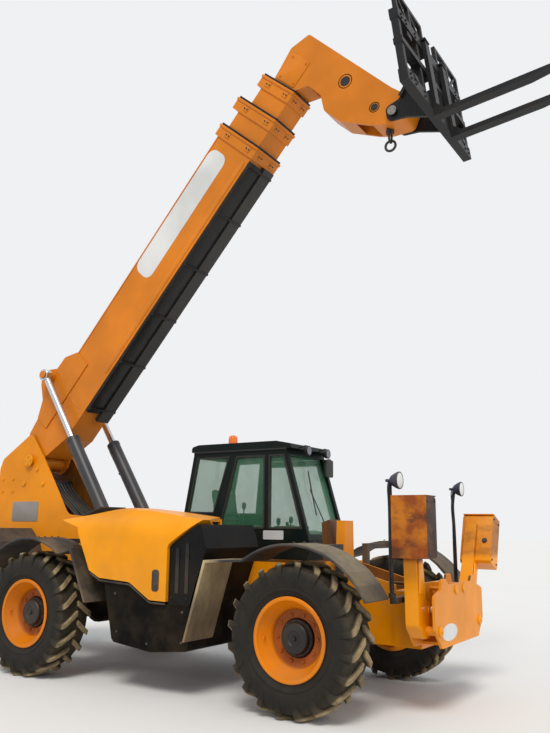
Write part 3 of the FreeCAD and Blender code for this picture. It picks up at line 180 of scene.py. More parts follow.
def colour(red, green, blue):
    """A colour given as 0 to 255 on screen, as the shader needs it."""
    linear = []
    for value in (red, green, blue):
        part = value / 255
        linear.append(part / 12.92 if part <= 0.04045 else ((part + 0.055) / 1.055) ** 2.4)
    return (*linear, 1.0)


def darker(base, share):
    return (*[part * share for part in base[:3]], 1.0)


DUST = colour(146, 124, 96)

# %% [markdown]
# ## Paint that has been to work
# The real machine is sprayed in a warm orange yellow. In use the paint picks up
# dust, most of all low down and on level faces, and the tone drifts a little
# from panel to panel. The dust is a mask made from the height, the way the
# surface faces and some noise, and it makes the paint duller as well as paler.


# %% Painted steel
def painted(name, base, dusty, gloss=0.32, low=0.5, high=1.9, deep=None, shine=1.0):
    """Dust lies below the low level and fades out at the high one."""
    finish = Finish(name)
    tone = finish.noise(1.3, 3.0)
    grain = finish.noise(46.0, 5.0, 0.65)
    streak = finish.noise(5.0, 4.0, 0.6, (3.0, 3.0, 0.35))
    ground = 1.0 - finish.spot().between(low, high)
    level = finish.facing().between(0.55, 0.95)
    patch = finish.noise(3.1, 6.0, 0.62).between(0.36, 0.68)
    dust = (ground * 0.8 + level * 0.45 + 0.12) * patch * (grain * 0.7 + 0.55) * dusty
    dust = (dust + streak.between(0.56, 0.74) * dusty * 0.22).clamped()
    skin = finish.mix(tone.between(0.35, 0.7), darker(base, 0.8), base)
    # Where a deep mask is given, the skin darkens towards its dark colour: painted shade in the
    # rim's deep dish, painted shade with some grime in the frame, and a darker rear half on the
    # boom rest.
    if deep:
        where, dark_colour = deep
        skin = finish.mix(where(finish, streak), skin, dark_colour)
    chips = finish.noise(95.0, 2.0, 0.5).between(0.735, 0.76) * patch * 0.8
    skin = finish.mix(chips, skin, colour(70, 60, 50))
    skin = finish.mix(dust, skin, DUST)
    peel = finish.noise(160.0, 2.0) * 0.25 + grain * dust
    return finish.set(
        Base_Color=skin,
        Roughness=(dust * 0.55 + tone * 0.08 + gloss).clamped(),
        Coat_Weight=(dust * -0.3 + 0.07 * shine).clamped(),
        Coat_Roughness=0.15,
        Specular_IOR_Level=0.2 * shine,
        Normal=finish.bump(peel, 0.0012, 0.35),
    )


def hub_recess_shade(finish, streak):
    """Dark where the dish is deep round the hub: painted shade in the recess."""
    inner = 1.0 - finish.written("from_axle").between(0.222, 0.246)
    return (inner * (streak * 0.3 + 0.65)).clamped()


def inside_frame(finish, streak):
    """Painted shade with some dirt between the side plates, and low down behind the front."""
    inward = (finish.facing("Y") * finish.spot("Y") * -1.0).between(0.1, 0.2)
    low = 1.0 - finish.spot().between(0.8, 0.95)
    middle = 1.0 - finish.spot("X").between(1.3, 1.45)
    return ((inward * 0.85 + low * middle * 0.8) * (streak * 0.3 + 0.85)).clamped()


def rear_post(finish, streak):
    """The boom rest's rear half, made dark brown."""
    return (1.0 - finish.spot("X").between(1.17, 1.2)) * (streak * 0.2 + 0.8)


# A dark brown: painted shade with some grime in the frame, and the boom rest's darker rear half.
GRIME_AND_SHADE = colour(58, 36, 20)
yellow_paint = painted("yellow_paint", colour(248, 158, 0), 0.18)
frame_paint = painted("frame_paint", colour(244, 148, 0), 0.25, deep=(inside_frame, GRIME_AND_SHADE))
rest_paint = painted("rest_paint", colour(248, 150, 0), 0.2, deep=(rear_post, GRIME_AND_SHADE))
# The boom's paint is the machine's yellow made darker and browner: painted shade on the backlit
# boom.
boom_paint_shaded = painted("boom_paint_shaded", colour(222, 128, 26), 0.25)
# The rim's dish turns dark brown round the hub: painted shade in the recess.
rim_paint = painted("rim_paint", colour(228, 128, 0), 0.25, 0.4, 0.1, 1.3,
                    deep=(hub_recess_shade, colour(128, 54, 6)))
black_paint = painted("black_paint", colour(22, 23, 26), 0.25, 0.42)
cover_paint = painted("cover_paint", colour(15, 16, 17), 0.06, 0.45, shine=0.5)
cab_paint = painted("cab_paint", colour(13, 24, 21), 0.08, 0.4, 0.8, 2.2, shine=0.6)
sill_paint = painted("sill_paint", colour(12, 9, 7), 0.1, 0.7, 0.4, 1.5, shine=0.4)

# %% [markdown]
# ## Castings, plastic and rubber
# The counterweight and the forks are rough iron, the guards are grained
# plastic, and the tyres are dull rubber with dry earth on the tips of the lugs.
# Each is noise at the size of the real grain, fed to the bump, with dust laid
# over it by height.


# %% Dull surfaces
def dull(name, base, grain_size, depth, rough, dusty, low=0.3, high=1.7):
    finish = Finish(name)
    grain = finish.noise(grain_size, 4.0, 0.6)
    patch = finish.noise(2.7, 6.0, 0.65).between(0.34, 0.7)
    ground = 1.0 - finish.spot().between(low, high)
    level = finish.facing().between(0.4, 0.95)
    dust = ((ground * 0.9 + level * 0.5 + 0.1) * patch * (grain * 0.8 + 0.5) * dusty).clamped()
    skin = finish.mix(grain.between(0.3, 0.75), darker(base, 0.7), base)
    return finish.set(
        Base_Color=finish.mix(dust, skin, DUST),
        Roughness=(dust * 0.3 + grain * 0.12 + rough - 0.06).clamped(),
        Normal=finish.bump(grain, depth, 0.6),
    )


dark_iron = dull("dark_iron", colour(52, 50, 48), 120.0, 0.0012, 0.6, 0.6)
dark_plastic = dull("dark_plastic", colour(38, 37, 36), 420.0, 0.0004, 0.58, 0.65, 0.5, 1.9)


# %% The flap behind the front wheel, and the rusted feet
FLAP_ENDS = (0.5, 0.7)
FOOT_STARTS = (1.2, 1.27)
SHEET_GREY = colour(38, 37, 36)


def guard_sheet():
    """Grained plastic; the flap is pale with dried mud, most of all at its top."""
    finish = Finish("guard_sheet")
    grain = finish.noise(90.0, 5.0, 0.65)
    patch = finish.noise(3.4, 6.0, 0.6).between(0.34, 0.62)
    runs = finish.noise(6.0, 5.0, 0.6, (2.5, 2.5, 0.5)).between(0.3, 0.7)
    flap = 1.0 - finish.spot("X").between(*FLAP_ENDS)
    level = finish.facing().between(0.1, 0.9)
    dust = (flap * (runs * 0.35 + patch * 0.2 + 0.45) + level * (patch * 0.25 + 0.1)).clamped()
    height = finish.spot().between(0.6, 1.25)
    pale = finish.mix(height, colour(132, 110, 80), colour(196, 174, 132))
    return finish.set(
        Base_Color=finish.mix(dust, SHEET_GREY, pale),
        Roughness=(dust * 0.3 + 0.58).clamped(),
        Normal=finish.bump(grain * 0.5 + runs * 0.5, 0.0015, 0.6),
    )


def rusted_foot(name, share):
    """Paint on the leg, rust on the foot at its end, and painted shade on the foot's front face,
    in slanted patches.
    """
    finish = Finish(name)
    grain = finish.noise(46.0, 5.0, 0.65)
    blotch = finish.noise(3.4, 5.0, 0.62).between(0.36, 0.6)
    shade_patches = finish.node(
        "ShaderNodeTexNoise", None, Vector=finish.place((0.7, 0.7, 1.3), (0.0, 0.8, 0.0)),
        Scale=3.6, Detail=6.0, Roughness=0.62,
    ).between(0.5, 0.6)
    foot = finish.spot().between(*FOOT_STARTS)
    front = finish.facing("X").between(0.6, 0.9)
    rust = (foot * (blotch * 0.45 + 0.6) * share).clamped()
    # Painted shade: dark brown on the foot's front face and in slanted noise patches, full on the
    # right foot and weaker on the left.
    dark = (foot * (shade_patches * 0.7 + front * 0.9) * share).clamped()
    skin = finish.mix(grain, colour(232, 140, 0), colour(248, 158, 0))
    skin = finish.mix(rust, skin, colour(138, 66, 20))
    skin = finish.mix(dark, skin, colour(56, 38, 28))
    return finish.set(
        Base_Color=skin,
        Roughness=(rust * 0.35 + 0.36).clamped(),
        Coat_Weight=(0.12 - rust * 0.12).clamped(),
        Specular_IOR_Level=0.3,
        Normal=finish.bump(grain * (rust * 0.8 + 0.2), 0.0016, 0.5),
    )


flap_sheet = guard_sheet()
foot_paint = {
    "right": rusted_foot("foot_paint_right", 1.0), "left": rusted_foot("foot_paint_left", 0.4),
}

# %% Tyre rubber, with dried earth on the tips of the lugs
def tyre_rubber():
    finish = Finish("tyre_rubber")
    fine = finish.noise(210.0, 3.0)
    clod = finish.noise(16.0, 6.0, 0.66)
    patch = finish.noise(3.4, 5.0, 0.6).between(0.3, 0.66)
    across = finish.noise(7.0, 5.0, 0.62).between(0.35, 0.62)
    reach = finish.written("from_axle")
    tread = reach.between(0.574, 0.6)
    shoulder = reach.between(0.5, 0.6) * 0.15
    earth = (clod.between(0.3, 0.6) * 0.4 + across * 0.3 + 0.4) * (patch * 0.4 + 0.6)
    dust = ((tread * 0.95 + shoulder + 0.04) * earth).clamped()
    skin = finish.mix(fine, colour(8, 8, 7), colour(20, 19, 17))
    skin = finish.mix(dust, skin, colour(156, 136, 102))
    return finish.set(
        Base_Color=skin,
        Roughness=(dust * 0.25 + 0.72).clamped(),
        Specular_IOR_Level=0.3,
        Normal=finish.bump(fine * 0.4 + clod * 0.6, 0.003, 0.5),
    )


tyre_finish = tyre_rubber()

# %% [markdown]
# ## Bare metal, glass and lenses
# Rods are hard chrome with a thin film of oil, pins are machined steel with
# fine rings, the windows are green tinted safety glass, and lenses are clear
# coloured plastic.


# %% Metals and clear parts
def metal(name, base, rough):
    finish = Finish(name)
    lines = finish.noise(300.0, 3.0, 0.6)
    film = finish.noise(9.0, 4.0, 0.6)
    return finish.set(
        Base_Color=finish.mix(film * 0.35, base, darker(base, 0.6)),
        Metallic=1.0,
        Roughness=(lines * 0.12 + film * 0.12 + rough).clamped(),
        Normal=finish.bump(lines, 0.0003, 0.25),
    )


rod_chrome = metal("rod_chrome", colour(206, 208, 212), 0.1)
bright_steel = metal("bright_steel", colour(150, 146, 138), 0.32)


def clear(name, base, alpha, rough=0.05, dusty=0.25):
    finish = Finish(name)
    smear = finish.noise(4.0, 5.0, 0.6, (1, 1, 0.4)).between(0.45, 0.75) * dusty
    return finish.set(
        Base_Color=finish.mix(smear, base, colour(170, 168, 156)),
        Roughness=(smear * 0.5 + rough).clamped(),
        Alpha=(smear * 0.35 + alpha).clamped(),
        IOR=1.5,
    )


window_glass = clear("window_glass", colour(84, 146, 110), 0.27)
beacon_lens = clear("beacon_lens", colour(255, 120, 10), 0.88, 0.12, 0.1)


def woven(name, base):
    finish = Finish(name)
    spot = finish.place()
    rows, columns = [
        finish.node("ShaderNodeTexWave", {"bands_direction": way}, Vector=spot, Scale=260.0)
        for way in "XZ"
    ]
    cloth = rows * 0.5 + columns * 0.5
    return finish.set(
        Base_Color=finish.mix(cloth, darker(base, 0.5), base),
        Roughness=0.9,
        Sheen_Weight=0.3,
        Normal=finish.bump(cloth, 0.0008, 0.5),
    )


seat_cloth = woven("seat_cloth", colour(44, 44, 48))

# %% [markdown]
# ## Which finish goes on which solid
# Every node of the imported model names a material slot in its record. The slots
# get their finishes here, and a few nodes that look different in the photo get
# one of their own.

# %% Put the finishes on the solids
def name_of(finish):
    """A finish's name, without the number that Blender adds to a second one."""
    return finish.name.split(".")[0]


BY_SLOT = {"seat_cover": seat_cloth, "tyre": tyre_finish}
for finish in (
    yellow_paint, black_paint, cab_paint, dark_iron, bright_steel, rod_chrome, dark_plastic,
    beacon_lens, window_glass,
):
    BY_SLOT[name_of(finish)] = finish
OWN_FINISH = {
    name: finish
    for finish, *names in (
        (sill_paint, "engine_sill", "front_axle", "rear_axle"),
        (black_paint, "fuel_tank"),
        (cover_paint, "side_cover"),
        (rest_paint, "boom_cradle"),
        (frame_paint, "chassis_frame", "front_frame"),
        (flap_sheet, "front_right_mudguard"),
        (foot_paint["left"], "stabiliser_left"),
        (foot_paint["right"], "stabiliser_right"),
        (boom_paint_shaded, "boom_outer", "boom_second", "boom_third", "boom_inner"),
    )
    for name in names
}
slot_of = {row["node"]: row["material_slot"] for row in frame["record"]["subparts"]}
for name, item in frame["nodes"].items():
    item.data.materials.clear()
    item.data.materials.append(OWN_FINISH.get(name) or BY_SLOT[slot_of[name]])
print(len(frame["nodes"]), "solids finished")

# %% [markdown]
# ## Shapes that come back
# Most parts of such a machine are cut plate, turned bar, bent pipe and bolts.
# Four small helpers make these with Blender's mesh operators: a block, a plate
# cut to an outline, a turned part spun from half its section, and a pipe that
# follows a smooth line. Every edge gets a small bevel, since a real edge
# catches the light. Each part is made in its own frame and then put in place.

# %% Where things stand
wheel_low, wheel_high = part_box("front_left_tyre")
WHEEL_X = 1.575
SET_BACK = WHEEL_X - (wheel_low.x + wheel_high.x) / 2
GROUND = Matrix.Translation((-SET_BACK, 0.0, 0.0))


def leaned(degrees, axis):
    return Matrix.Rotation(math.radians(degrees), 4, axis)


BOOM_PIVOT = (-2.75, 0.0, 2.27)
BOOM_RAISED = 48.5
BOOM_HALF = 0.2165
TOWER_HALF = 0.2582
LEG_PIVOT = (2.375, 0.5, 0.68)
LEFT_LEG_OUT = 21.0
BOOM = GROUND @ Matrix.Translation(BOOM_PIVOT) @ leaned(-BOOM_RAISED, "Y")
pin_low, pin_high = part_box("carriage_pin")
FORKS = Matrix.Translation((pin_low + pin_high) / 2) @ leaned(-7.0, "Y")
LEGS = {
    "right": GROUND @ Matrix.Translation((LEG_PIVOT[0], -LEG_PIVOT[1], LEG_PIVOT[2])),
    "left": GROUND @ Matrix.Translation(LEG_PIVOT) @ leaned(-LEFT_LEG_OUT, "X"),
}
SIDES = (("left", 1), ("right", -1))
print("model set back by", round(SET_BACK, 4))


def mesh_of(shape, name):
    mesh = bpy.data.meshes.new(name)
    shape.to_mesh(mesh)
    shape.free()
    return mesh


def linked(name, data):
    item = bpy.data.objects.new(name, data)
    bpy.context.collection.objects.link(item)
    return item


def made(name, shapes, finish, body="chassis", place=GROUND, replaced=(), smooth=32.0):
    """Joins the shapes, puts them in place and lets the piece ride on a body."""
    whole = bmesh.new()
    for shape in shapes if isinstance(shapes, list) else [shapes]:
        part = mesh_of(shape, "part")
        whole.from_mesh(part)
        bpy.data.meshes.remove(part)
    bmesh.ops.transform(whole, matrix=place, verts=whole.verts)
    bmesh.ops.remove_doubles(whole, verts=whole.verts, dist=2e-5)
    bmesh.ops.recalc_face_normals(whole, faces=whole.faces)
    mesh = mesh_of(whole, name)
    mesh.shade_smooth()
    mesh.set_sharp_from_angle(angle=math.radians(smooth))
    mesh.materials.append(finish)
    piece = linked(name, mesh)
    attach(piece, body)
    if replaced:
        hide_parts(*replaced)
    return piece


def put(shape, matrix):
    bmesh.ops.transform(shape, matrix=matrix, verts=shape.verts)
    return shape


def softened(shape, edge, segments=2):
    if edge:
        sharp = [item for item in shape.edges if item.calc_face_angle(0.0) > 0.5]
        bmesh.ops.bevel(
            shape, geom=sharp, offset=edge, affect="EDGES", segments=segments,
            profile=0.5, material=-1, clamp_overlap=True,
        )
    return shape


# %% A block, and a plate cut to an outline
def about(middle, half):
    return (middle - half, middle + half)


def block(x, y, z, edge=0.004, segments=2):
    shape = bmesh.new()
    bmesh.ops.create_cube(shape, size=1.0)
    span = [high - low for low, high in (x, y, z)]
    middle = [(high + low) / 2 for low, high in (x, y, z)]
    bmesh.ops.scale(shape, vec=span, verts=shape.verts)
    bmesh.ops.translate(shape, vec=middle, verts=shape.verts)
    return softened(shape, edge, segments)


# The axes that an outline's own two lengths and its depth run along
PLANES = {"side": (0, 2, 1), "front": (1, 2, 0)}


def flat_face(outline, plane, depth):
    across, tall, deep = PLANES[plane]
    shape = bmesh.new()
    corners = []
    for u, v in outline:
        spot = [0.0, 0.0, 0.0]
        spot[across], spot[tall], spot[deep] = u, v, depth
        corners.append(shape.verts.new(spot))
    return shape, shape.faces.new(corners)


def thickened(shape, faces, plane, thick):
    grown = bmesh.ops.extrude_face_region(shape, geom=faces)
    moved = [item for item in grown["geom"] if isinstance(item, bmesh.types.BMVert)]
    step = [0.0, 0.0, 0.0]
    step[PLANES[plane][2]] = thick
    bmesh.ops.translate(shape, vec=step, verts=moved)
    bmesh.ops.recalc_face_normals(shape, faces=shape.faces)


def cut_plate(outline, plane, low, high, edge=0.003, segments=2):
    shape, face = flat_face(outline, plane, low)
    thickened(shape, [face], plane, high - low)
    return softened(shape, edge, segments)


def round_outline(points, radius, steps=4):
    """The outline with every corner rounded, by bevelling the corners of a face."""
    shape = bmesh.new()
    face = shape.faces.new([shape.verts.new((u, v, 0.0)) for u, v in points])
    bmesh.ops.bevel(
        shape, geom=shape.verts[:], offset=radius, affect="VERTICES", segments=steps,
        profile=0.5, material=-1,
    )
    shape.faces.ensure_lookup_table()
    outline = [(vert.co.x, vert.co.y) for vert in shape.faces[0].verts]
    shape.free()
    return outline


# %% A turned part, along X, Y or Z
ALONG = {"X": leaned(90.0, "Y"), "Y": leaned(-90.0, "X"), "Z": Matrix.Identity(4)}


def turned(section, axis="Z", place=(0, 0, 0), sides=40, closed=False):
    """Spins a section of (radius, distance along the axis)."""
    shape = bmesh.new()
    corners = [shape.verts.new((radius, 0.0, along)) for radius, along in section]
    pairs = list(zip(corners, corners[1:]))
    if closed:
        pairs.append((corners[-1], corners[0]))
    lines = [shape.edges.new(pair) for pair in pairs]
    bmesh.ops.spin(
        shape, geom=corners + lines, axis=(0, 0, 1), cent=(0, 0, 0), angle=math.tau,
        steps=sides, use_merge=True,
    )
    bmesh.ops.remove_doubles(shape, verts=shape.verts, dist=1e-6)
    return put(shape, Matrix.Translation(place) @ ALONG[axis])


def round_ring(radius, wire, axis, place, sides, steps=12):
    """A ring of round wire."""
    turns = [math.tau * step / steps for step in range(steps)]
    section = [(radius + wire * math.cos(turn), wire * math.sin(turn)) for turn in turns]
    return turned(section, axis, place, sides, True)


def round_bar(low, high, radius, axis="Z", place=(0, 0, 0), sides=24, edge=0.003):
    section = [
        (0.0, low), (radius - edge, low), (radius, low + edge), (radius, high - edge),
        (radius - edge, high), (0.0, high),
    ]
    return turned(section, axis, place, sides)


# %% Bolts, and a bent pipe
def bolts(spots, size, facing):
    """Six-sided heads, each on a round washer."""
    turn = Vector(facing).to_track_quat("Z", "Y").to_matrix().to_4x4()
    shape = bmesh.new()
    for spot in spots:
        here = Matrix.Translation(spot) @ turn
        for wide, tall, count, up in ((1.35, 0.2, 16, 0.1), (1.0, 0.8, 6, 0.55)):
            bmesh.ops.create_cone(
                shape, cap_ends=True, segments=count, radius1=size * wide,
                radius2=size * wide * 0.94, depth=size * tall,
                matrix=here @ Matrix.Translation((0, 0, size * up)),
            )
    return shape


def ring_of(count, radius, along):
    """Spots on a circle round the Y axis, this far along it."""
    spots = []
    for index in range(count):
        turn = Matrix.Rotation(math.tau * index / count, 4, "Z")
        spots.append(ALONG["Y"] @ turn @ Vector((radius, 0.0, along)))
    return spots


def pipe(points, radius, sides=3):
    line = bpy.data.curves.new("line", "CURVE")
    line.dimensions = "3D"
    spline = line.splines.new("NURBS")
    spline.points.add(len(points) - 1)
    for point, spot in zip(spline.points, points):
        point.co = (*spot, 1.0)
    spline.order_u = 3
    spline.use_endpoint_u = True
    line.resolution_u = 6
    line.bevel_depth = radius
    line.bevel_resolution = sides
    line.use_fill_caps = True
    holder = bpy.data.objects.new("line", line)
    mesh = bpy.data.meshes.new_from_object(holder)
    shape = bmesh.new()
    shape.from_mesh(mesh)
    bpy.data.objects.remove(holder)
    bpy.data.meshes.remove(mesh)
    bpy.data.curves.remove(line)
    return shape


# %% [markdown]
# ## Wheels
# The tyre is the first thing that the eye meets, low at the front. The real
# one is a carcass with long slanted lugs, a side wall that bulges, and a rib
# that guards the rim. The carcass is spun from half its section. One lug is
# drawn out in steps from the middle of the tread, over the shoulder and down
# the side, and copied round the wheel, half a pitch apart on the two sides.

# %% Tyre
HALF_TYRE = [
    (0.3145, 0.14), (0.316, 0.1595), (0.342, 0.16), (0.36, 0.17), (0.38, 0.183),
    (0.386, 0.19), (0.396, 0.1915), (0.402, 0.188), (0.434, 0.1975), (0.47, 0.199),
    (0.506, 0.1945), (0.54, 0.181), (0.558, 0.164), (0.565, 0.14), (0.567, 0.07),
]
TYRE_SECTION = [(r, -y) for r, y in HALF_TYRE] + [(r, y) for r, y in reversed(HALF_TYRE)]
# One lug: distance from the middle, its two edges, its foot and its top
LUG_STEPS = [
    (0.004, 0.088, 0.15, 0.54, 0.6095), (0.04, 0.064, 0.126, 0.54, 0.6095),
    (0.085, 0.03, 0.092, 0.54, 0.6095), (0.13, -0.003, 0.058, 0.54, 0.6085),
    (0.168, -0.024, 0.037, 0.53, 0.603), (0.188, -0.033, 0.028, 0.5, 0.586),
    (0.199, -0.037, 0.022, 0.47, 0.54), (0.2015, -0.032, 0.012, 0.46, 0.49),
]
LUGS = 20


def lug():
    shape = bmesh.new()

    def corners(step):
        y, back, front, foot, top = step
        lean = 0.004
        spots = ((back, foot), (front, foot), (front - lean, top), (back + lean, top))
        # Lengths along the tread are wrapped round the wheel
        return [(reach * math.sin(u / 0.6), y, reach * math.cos(u / 0.6)) for u, reach in spots]

    face = shape.faces.new([shape.verts.new(spot) for spot in corners(LUG_STEPS[0])])
    for step in LUG_STEPS[1:]:
        grown = bmesh.ops.extrude_face_region(shape, geom=[face])
        if step is not LUG_STEPS[1]:
            bmesh.ops.delete(shape, geom=[face], context="FACES_ONLY")
        face = [item for item in grown["geom"] if isinstance(item, bmesh.types.BMFace)][0]
        for vert, spot in zip(face.verts, corners(step)):
            vert.co = spot
    bmesh.ops.recalc_face_normals(shape, faces=shape.faces)
    return softened(shape, 0.005, 1)


def tyre():
    shapes = [turned(TYRE_SECTION, "Y", sides=96, closed=True)]
    mesh = mesh_of(lug(), "lug")
    for side, shift in ((1, 0.5), (-1, 0.0)):
        for index in range(LUGS):
            turn = 360.0 / LUGS * (index + shift)
            copy = bmesh.new()
            copy.from_mesh(mesh)
            shapes.append(put(copy, leaned(turn, "Y") @ Matrix.Diagonal((1, side, 1, 1))))
    bpy.data.meshes.remove(mesh)
    return shapes


# %% [markdown]
# The rim is one pressed and welded dish, sprayed orange, with a black
# planetary hub in its middle. Both are turned parts. The wheel nuts stand on
# the dish round the hub, the hub's own small bolts on its step.

# %% Rim and hub
RIM_SECTION = [
    (0.0, -0.012), (0.15, -0.012), (0.155, -0.008), (0.155, 0.014), (0.159, 0.019),
    (0.214, 0.02), (0.224, 0.024), (0.234, 0.04), (0.292, 0.146), (0.3, 0.16),
    (0.304, 0.171), (0.31, 0.1742), (0.33, 0.1742), (0.336, 0.17), (0.336, 0.164),
    (0.33, 0.1604), (0.3137, 0.159), (0.312, 0.1), (0.3137, -0.159), (0.33, -0.1604),
    (0.336, -0.164), (0.336, -0.17), (0.33, -0.1742), (0.302, -0.172), (0.296, -0.12),
    (0.222, -0.006), (0.21, 0.0), (0.172, -0.002), (0.1705, -0.07), (0.166, -0.0757),
    (0.0, -0.0757),
]
HUB_SECTION = [
    (0.0, -0.0115), (0.146, -0.0115), (0.149, 0.0), (0.149, 0.034), (0.143, 0.042),
    (0.13, 0.043), (0.126, 0.048), (0.122, 0.076), (0.114, 0.085), (0.06, 0.088),
    (0.054, 0.083), (0.0, 0.081),
]


def mark_reach(piece, centre):
    """Writes each corner's distance from the axle, for the finish to read."""
    layer = piece.data.attributes.new("from_axle", "FLOAT", "POINT")
    for vert in piece.data.vertices:
        layer.data[vert.index].value = math.hypot(vert.co.x - centre.x, vert.co.z - centre.z)


WHEELS = [
    (axle, side_name, sign, side)
    for axle, sign in (("front", 1), ("rear", -1))
    for side_name, side in SIDES
]
hub_paint = dull("hub_paint", colour(12, 11, 10), 130.0, 0.0008, 0.5, 0.12, 0.2, 1.4)
for axle, side_name, sign, side in WHEELS:
    low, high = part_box(f"{axle}_{side_name}_tyre")
    stand = Matrix.Translation((low + high) / 2) @ leaned(0.0 if side > 0 else 180.0, "Z")
    body = f"{axle}_{side_name}_wheel"
    base = f"{axle}_{side_name}"
    tread = made(f"{base}_tread", tyre(), tyre_finish, body, stand, (f"{base}_tyre",), 28.0)
    mark_reach(tread, (low + high) / 2)
    valve = pipe([(0.262, 0.1, 0.0), (0.258, 0.125, 0.0), (0.25, 0.145, 0.0)], 0.006)
    dish = made(f"{base}_dish", [turned(RIM_SECTION, "Y", sides=72), valve], rim_paint,
                body, stand, (f"{base}_rim",), 30.0)
    mark_reach(dish, (low + high) / 2)
    made(f"{base}_hub", [
        turned(HUB_SECTION, "Y", sides=48),
        bolts(ring_of(12, 0.136, 0.042), 0.0065, (0, 1, 0)),
        round_bar(0.075, 0.102, 0.02, "Y", sides=6),
    ], hub_paint, body, stand)
    nuts = made(f"{base}_nuts", bolts(ring_of(10, 0.186, 0.0195), 0.0125, (0, 1, 0)), rim_paint,
                body, stand)
    mark_reach(nuts, (low + high) / 2)
print("wheels dressed:", len(WHEELS), "of", LUGS * 2, "lugs each")

# %% [markdown]
# ## Cylinders
# A hydraulic cylinder is a honed tube with an eye welded to its foot, a gland
# screwed into its mouth, and a chromed rod with an eye of its own. The solids
# have the same parts with flat sides, so smooth turned ones take their place,
# at the same pins. A feed pipe runs along the tube to a block at the gland.


# %% One cylinder between two pins
ram_paint = dull("ram_paint", colour(44, 44, 50), 140.0, 0.0005, 0.42, 0.5, 0.6, 2.2)


def cylinder(name, foot, head, closed, radius, rod, eye, width, axis, bodies, nodes):
    foot, head = Vector(foot), Vector(head)
    line = head - foot
    length = line.length
    along = line.normalized()
    cross = Vector(axis)
    frame_axes = Matrix((along, cross, along.cross(cross))).transposed().to_4x4()
    stand = GROUND @ Matrix.Translation(foot) @ frame_axes
    mouth = closed - eye
    step = radius * 0.08
    tube = turned([
        (0.0, eye * 0.7), (radius - step, eye * 0.7), (radius, eye * 0.7 + step),
        (radius, mouth - 0.048), (radius + 0.004, mouth - 0.044), (radius + 0.005, mouth - 0.008),
        (radius - 0.004, mouth), (rod + 0.006, mouth), (rod + 0.002, mouth - 0.006),
        (rod + 0.0008, mouth - 0.01), (rod + 0.0008, eye + 0.02), (0.0, eye + 0.02),
    ], "X", sides=40)
    hole = eye * 0.56

    def ring(at):
        half = width / 2
        section = [
            (hole, -half), (eye - 0.004, -half), (eye, 0.004 - half), (eye, half - 0.004),
            (eye - 0.004, half), (hole, half),
        ]
        return turned(section, "Y", (at, 0, 0), 32, True)

    lift = radius + 0.014
    feed = pipe([
        (eye + 0.03, 0, radius - 0.004), (eye + 0.03, 0, lift + 0.012),
        (eye + 0.1, 0, lift + 0.006), (mouth * 0.5, 0, lift), (mouth - 0.1, 0, lift),
        (mouth - 0.05, 0, lift + 0.006), (mouth - 0.03, 0, radius),
    ], 0.009 if radius > 0.05 else 0.005)
    clips = [
        block(about(at, 0.012), (-0.018, 0.018), (radius - 0.004, lift + 0.01), 0.003)
        for at in (mouth * 0.3, mouth * 0.7)
    ]
    ports = [
        block(about(at, 0.022), (-0.02, 0.02), (radius * 0.9, radius + 0.012), 0.004)
        for at in (eye + 0.03, mouth - 0.03)
    ]
    made(f"{name}_tube", [tube, ring(0.0), feed] + clips + ports, ram_paint,
         bodies[0], stand, (nodes[0],))
    inside = mouth - (0.3 if radius > 0.05 else 0.1)
    shaft = turned([
        (0.0, inside), (rod, inside), (rod, length - eye * 1.5), (rod * 0.8, length - eye * 0.9),
        (rod * 0.8, length - eye * 0.6), (0.0, length - eye * 0.6),
    ], "X", sides=32)
    made(f"{name}_shaft", [shaft, ring(length)], rod_chrome, bodies[1], stand, (nodes[1],))


def boom_spot(s, n):
    """A point beside the raised boom, s along it and n above its middle."""
    turn = math.radians(BOOM_RAISED)
    return (
        s * math.cos(turn) - n * math.sin(turn) + BOOM_PIVOT[0],
        s * math.sin(turn) + n * math.cos(turn) + BOOM_PIVOT[2],
    )


LIFT_FOOT = (-1.206, 1.4)
LIFT_EYE = (0.953, 0.51)
LEG_RAM_FOOT = (2.532, 0.1, 0.985)
LEG_RAM_REACH = 0.165
eye_x, eye_z = boom_spot(*LIFT_EYE)
for side_name, side in SIDES:
    cylinder(
        f"lift_ram_{side_name}", (LIFT_FOOT[0], side * 0.34, LIFT_FOOT[1]),
        (eye_x, side * 0.34, eye_z), 1.4, 0.076, 0.042, 0.072, 0.084, (0, 1, 0),
        ("lift_barrels", "lift_rods"), (f"lift_barrel_{side_name}", f"lift_rod_{side_name}"),
    )
    turn = math.radians(-18 + (LEFT_LEG_OUT if side > 0 else 0))
    foot_x, foot_y, foot_z = LEG_RAM_FOOT
    head = (foot_x, side * (LEG_PIVOT[1] + LEG_RAM_REACH * math.sin(turn)),
            LEG_PIVOT[2] + LEG_RAM_REACH * math.cos(turn))
    cylinder(
        f"leg_ram_{side_name}", (foot_x, side * foot_y, foot_z), head, 0.368, 0.034, 0.019,
        0.03, 0.056, (1, 0, 0), (f"ram_barrel_{side_name}", f"ram_rod_{side_name}"),
        (f"stabiliser_barrel_{side_name}", f"stabiliser_rod_{side_name}"),
    )
print("lift cylinder reach", round((Vector((eye_x, eye_z)) - Vector(LIFT_FOOT)).length, 3))

# %% [markdown]
# ## On the boom
# The four sections are carried over as they are. On the outer one goes a white
# panel with round ends, which stays blank, a black cover that guards the hoses
# under the boom, and a flat doubler along each side. Every collar gets a
# stiffening band, a black lip at its mouth that is painted shade in the gap
# round the next section, and the bolted wear pad holders that show from all
# sides. A section moves in the one behind it, so each piece rides on the
# section that it is bolted to.

# %% Side panel, doublers and the hose cover
panel_white = painted("panel_white", colour(226, 226, 224), 0.16, 0.3)
PANEL = round_outline([(2.72, 0.045), (4.43, 0.045), (4.43, 0.35), (2.72, 0.35)], 0.11, 6)
DOUBLER = round_outline([(1.52, -0.215), (4.5, -0.215), (4.5, -0.15), (1.52, -0.15)], 0.03)
SEAM = [(0.72, 0.355), (4.56, 0.355), (4.56, 0.368), (0.72, 0.368)]


def proud(face, side, thick):
    """The two ends of a layer laid on a face that looks to one side."""
    return sorted((side * face, side * (face + thick)))


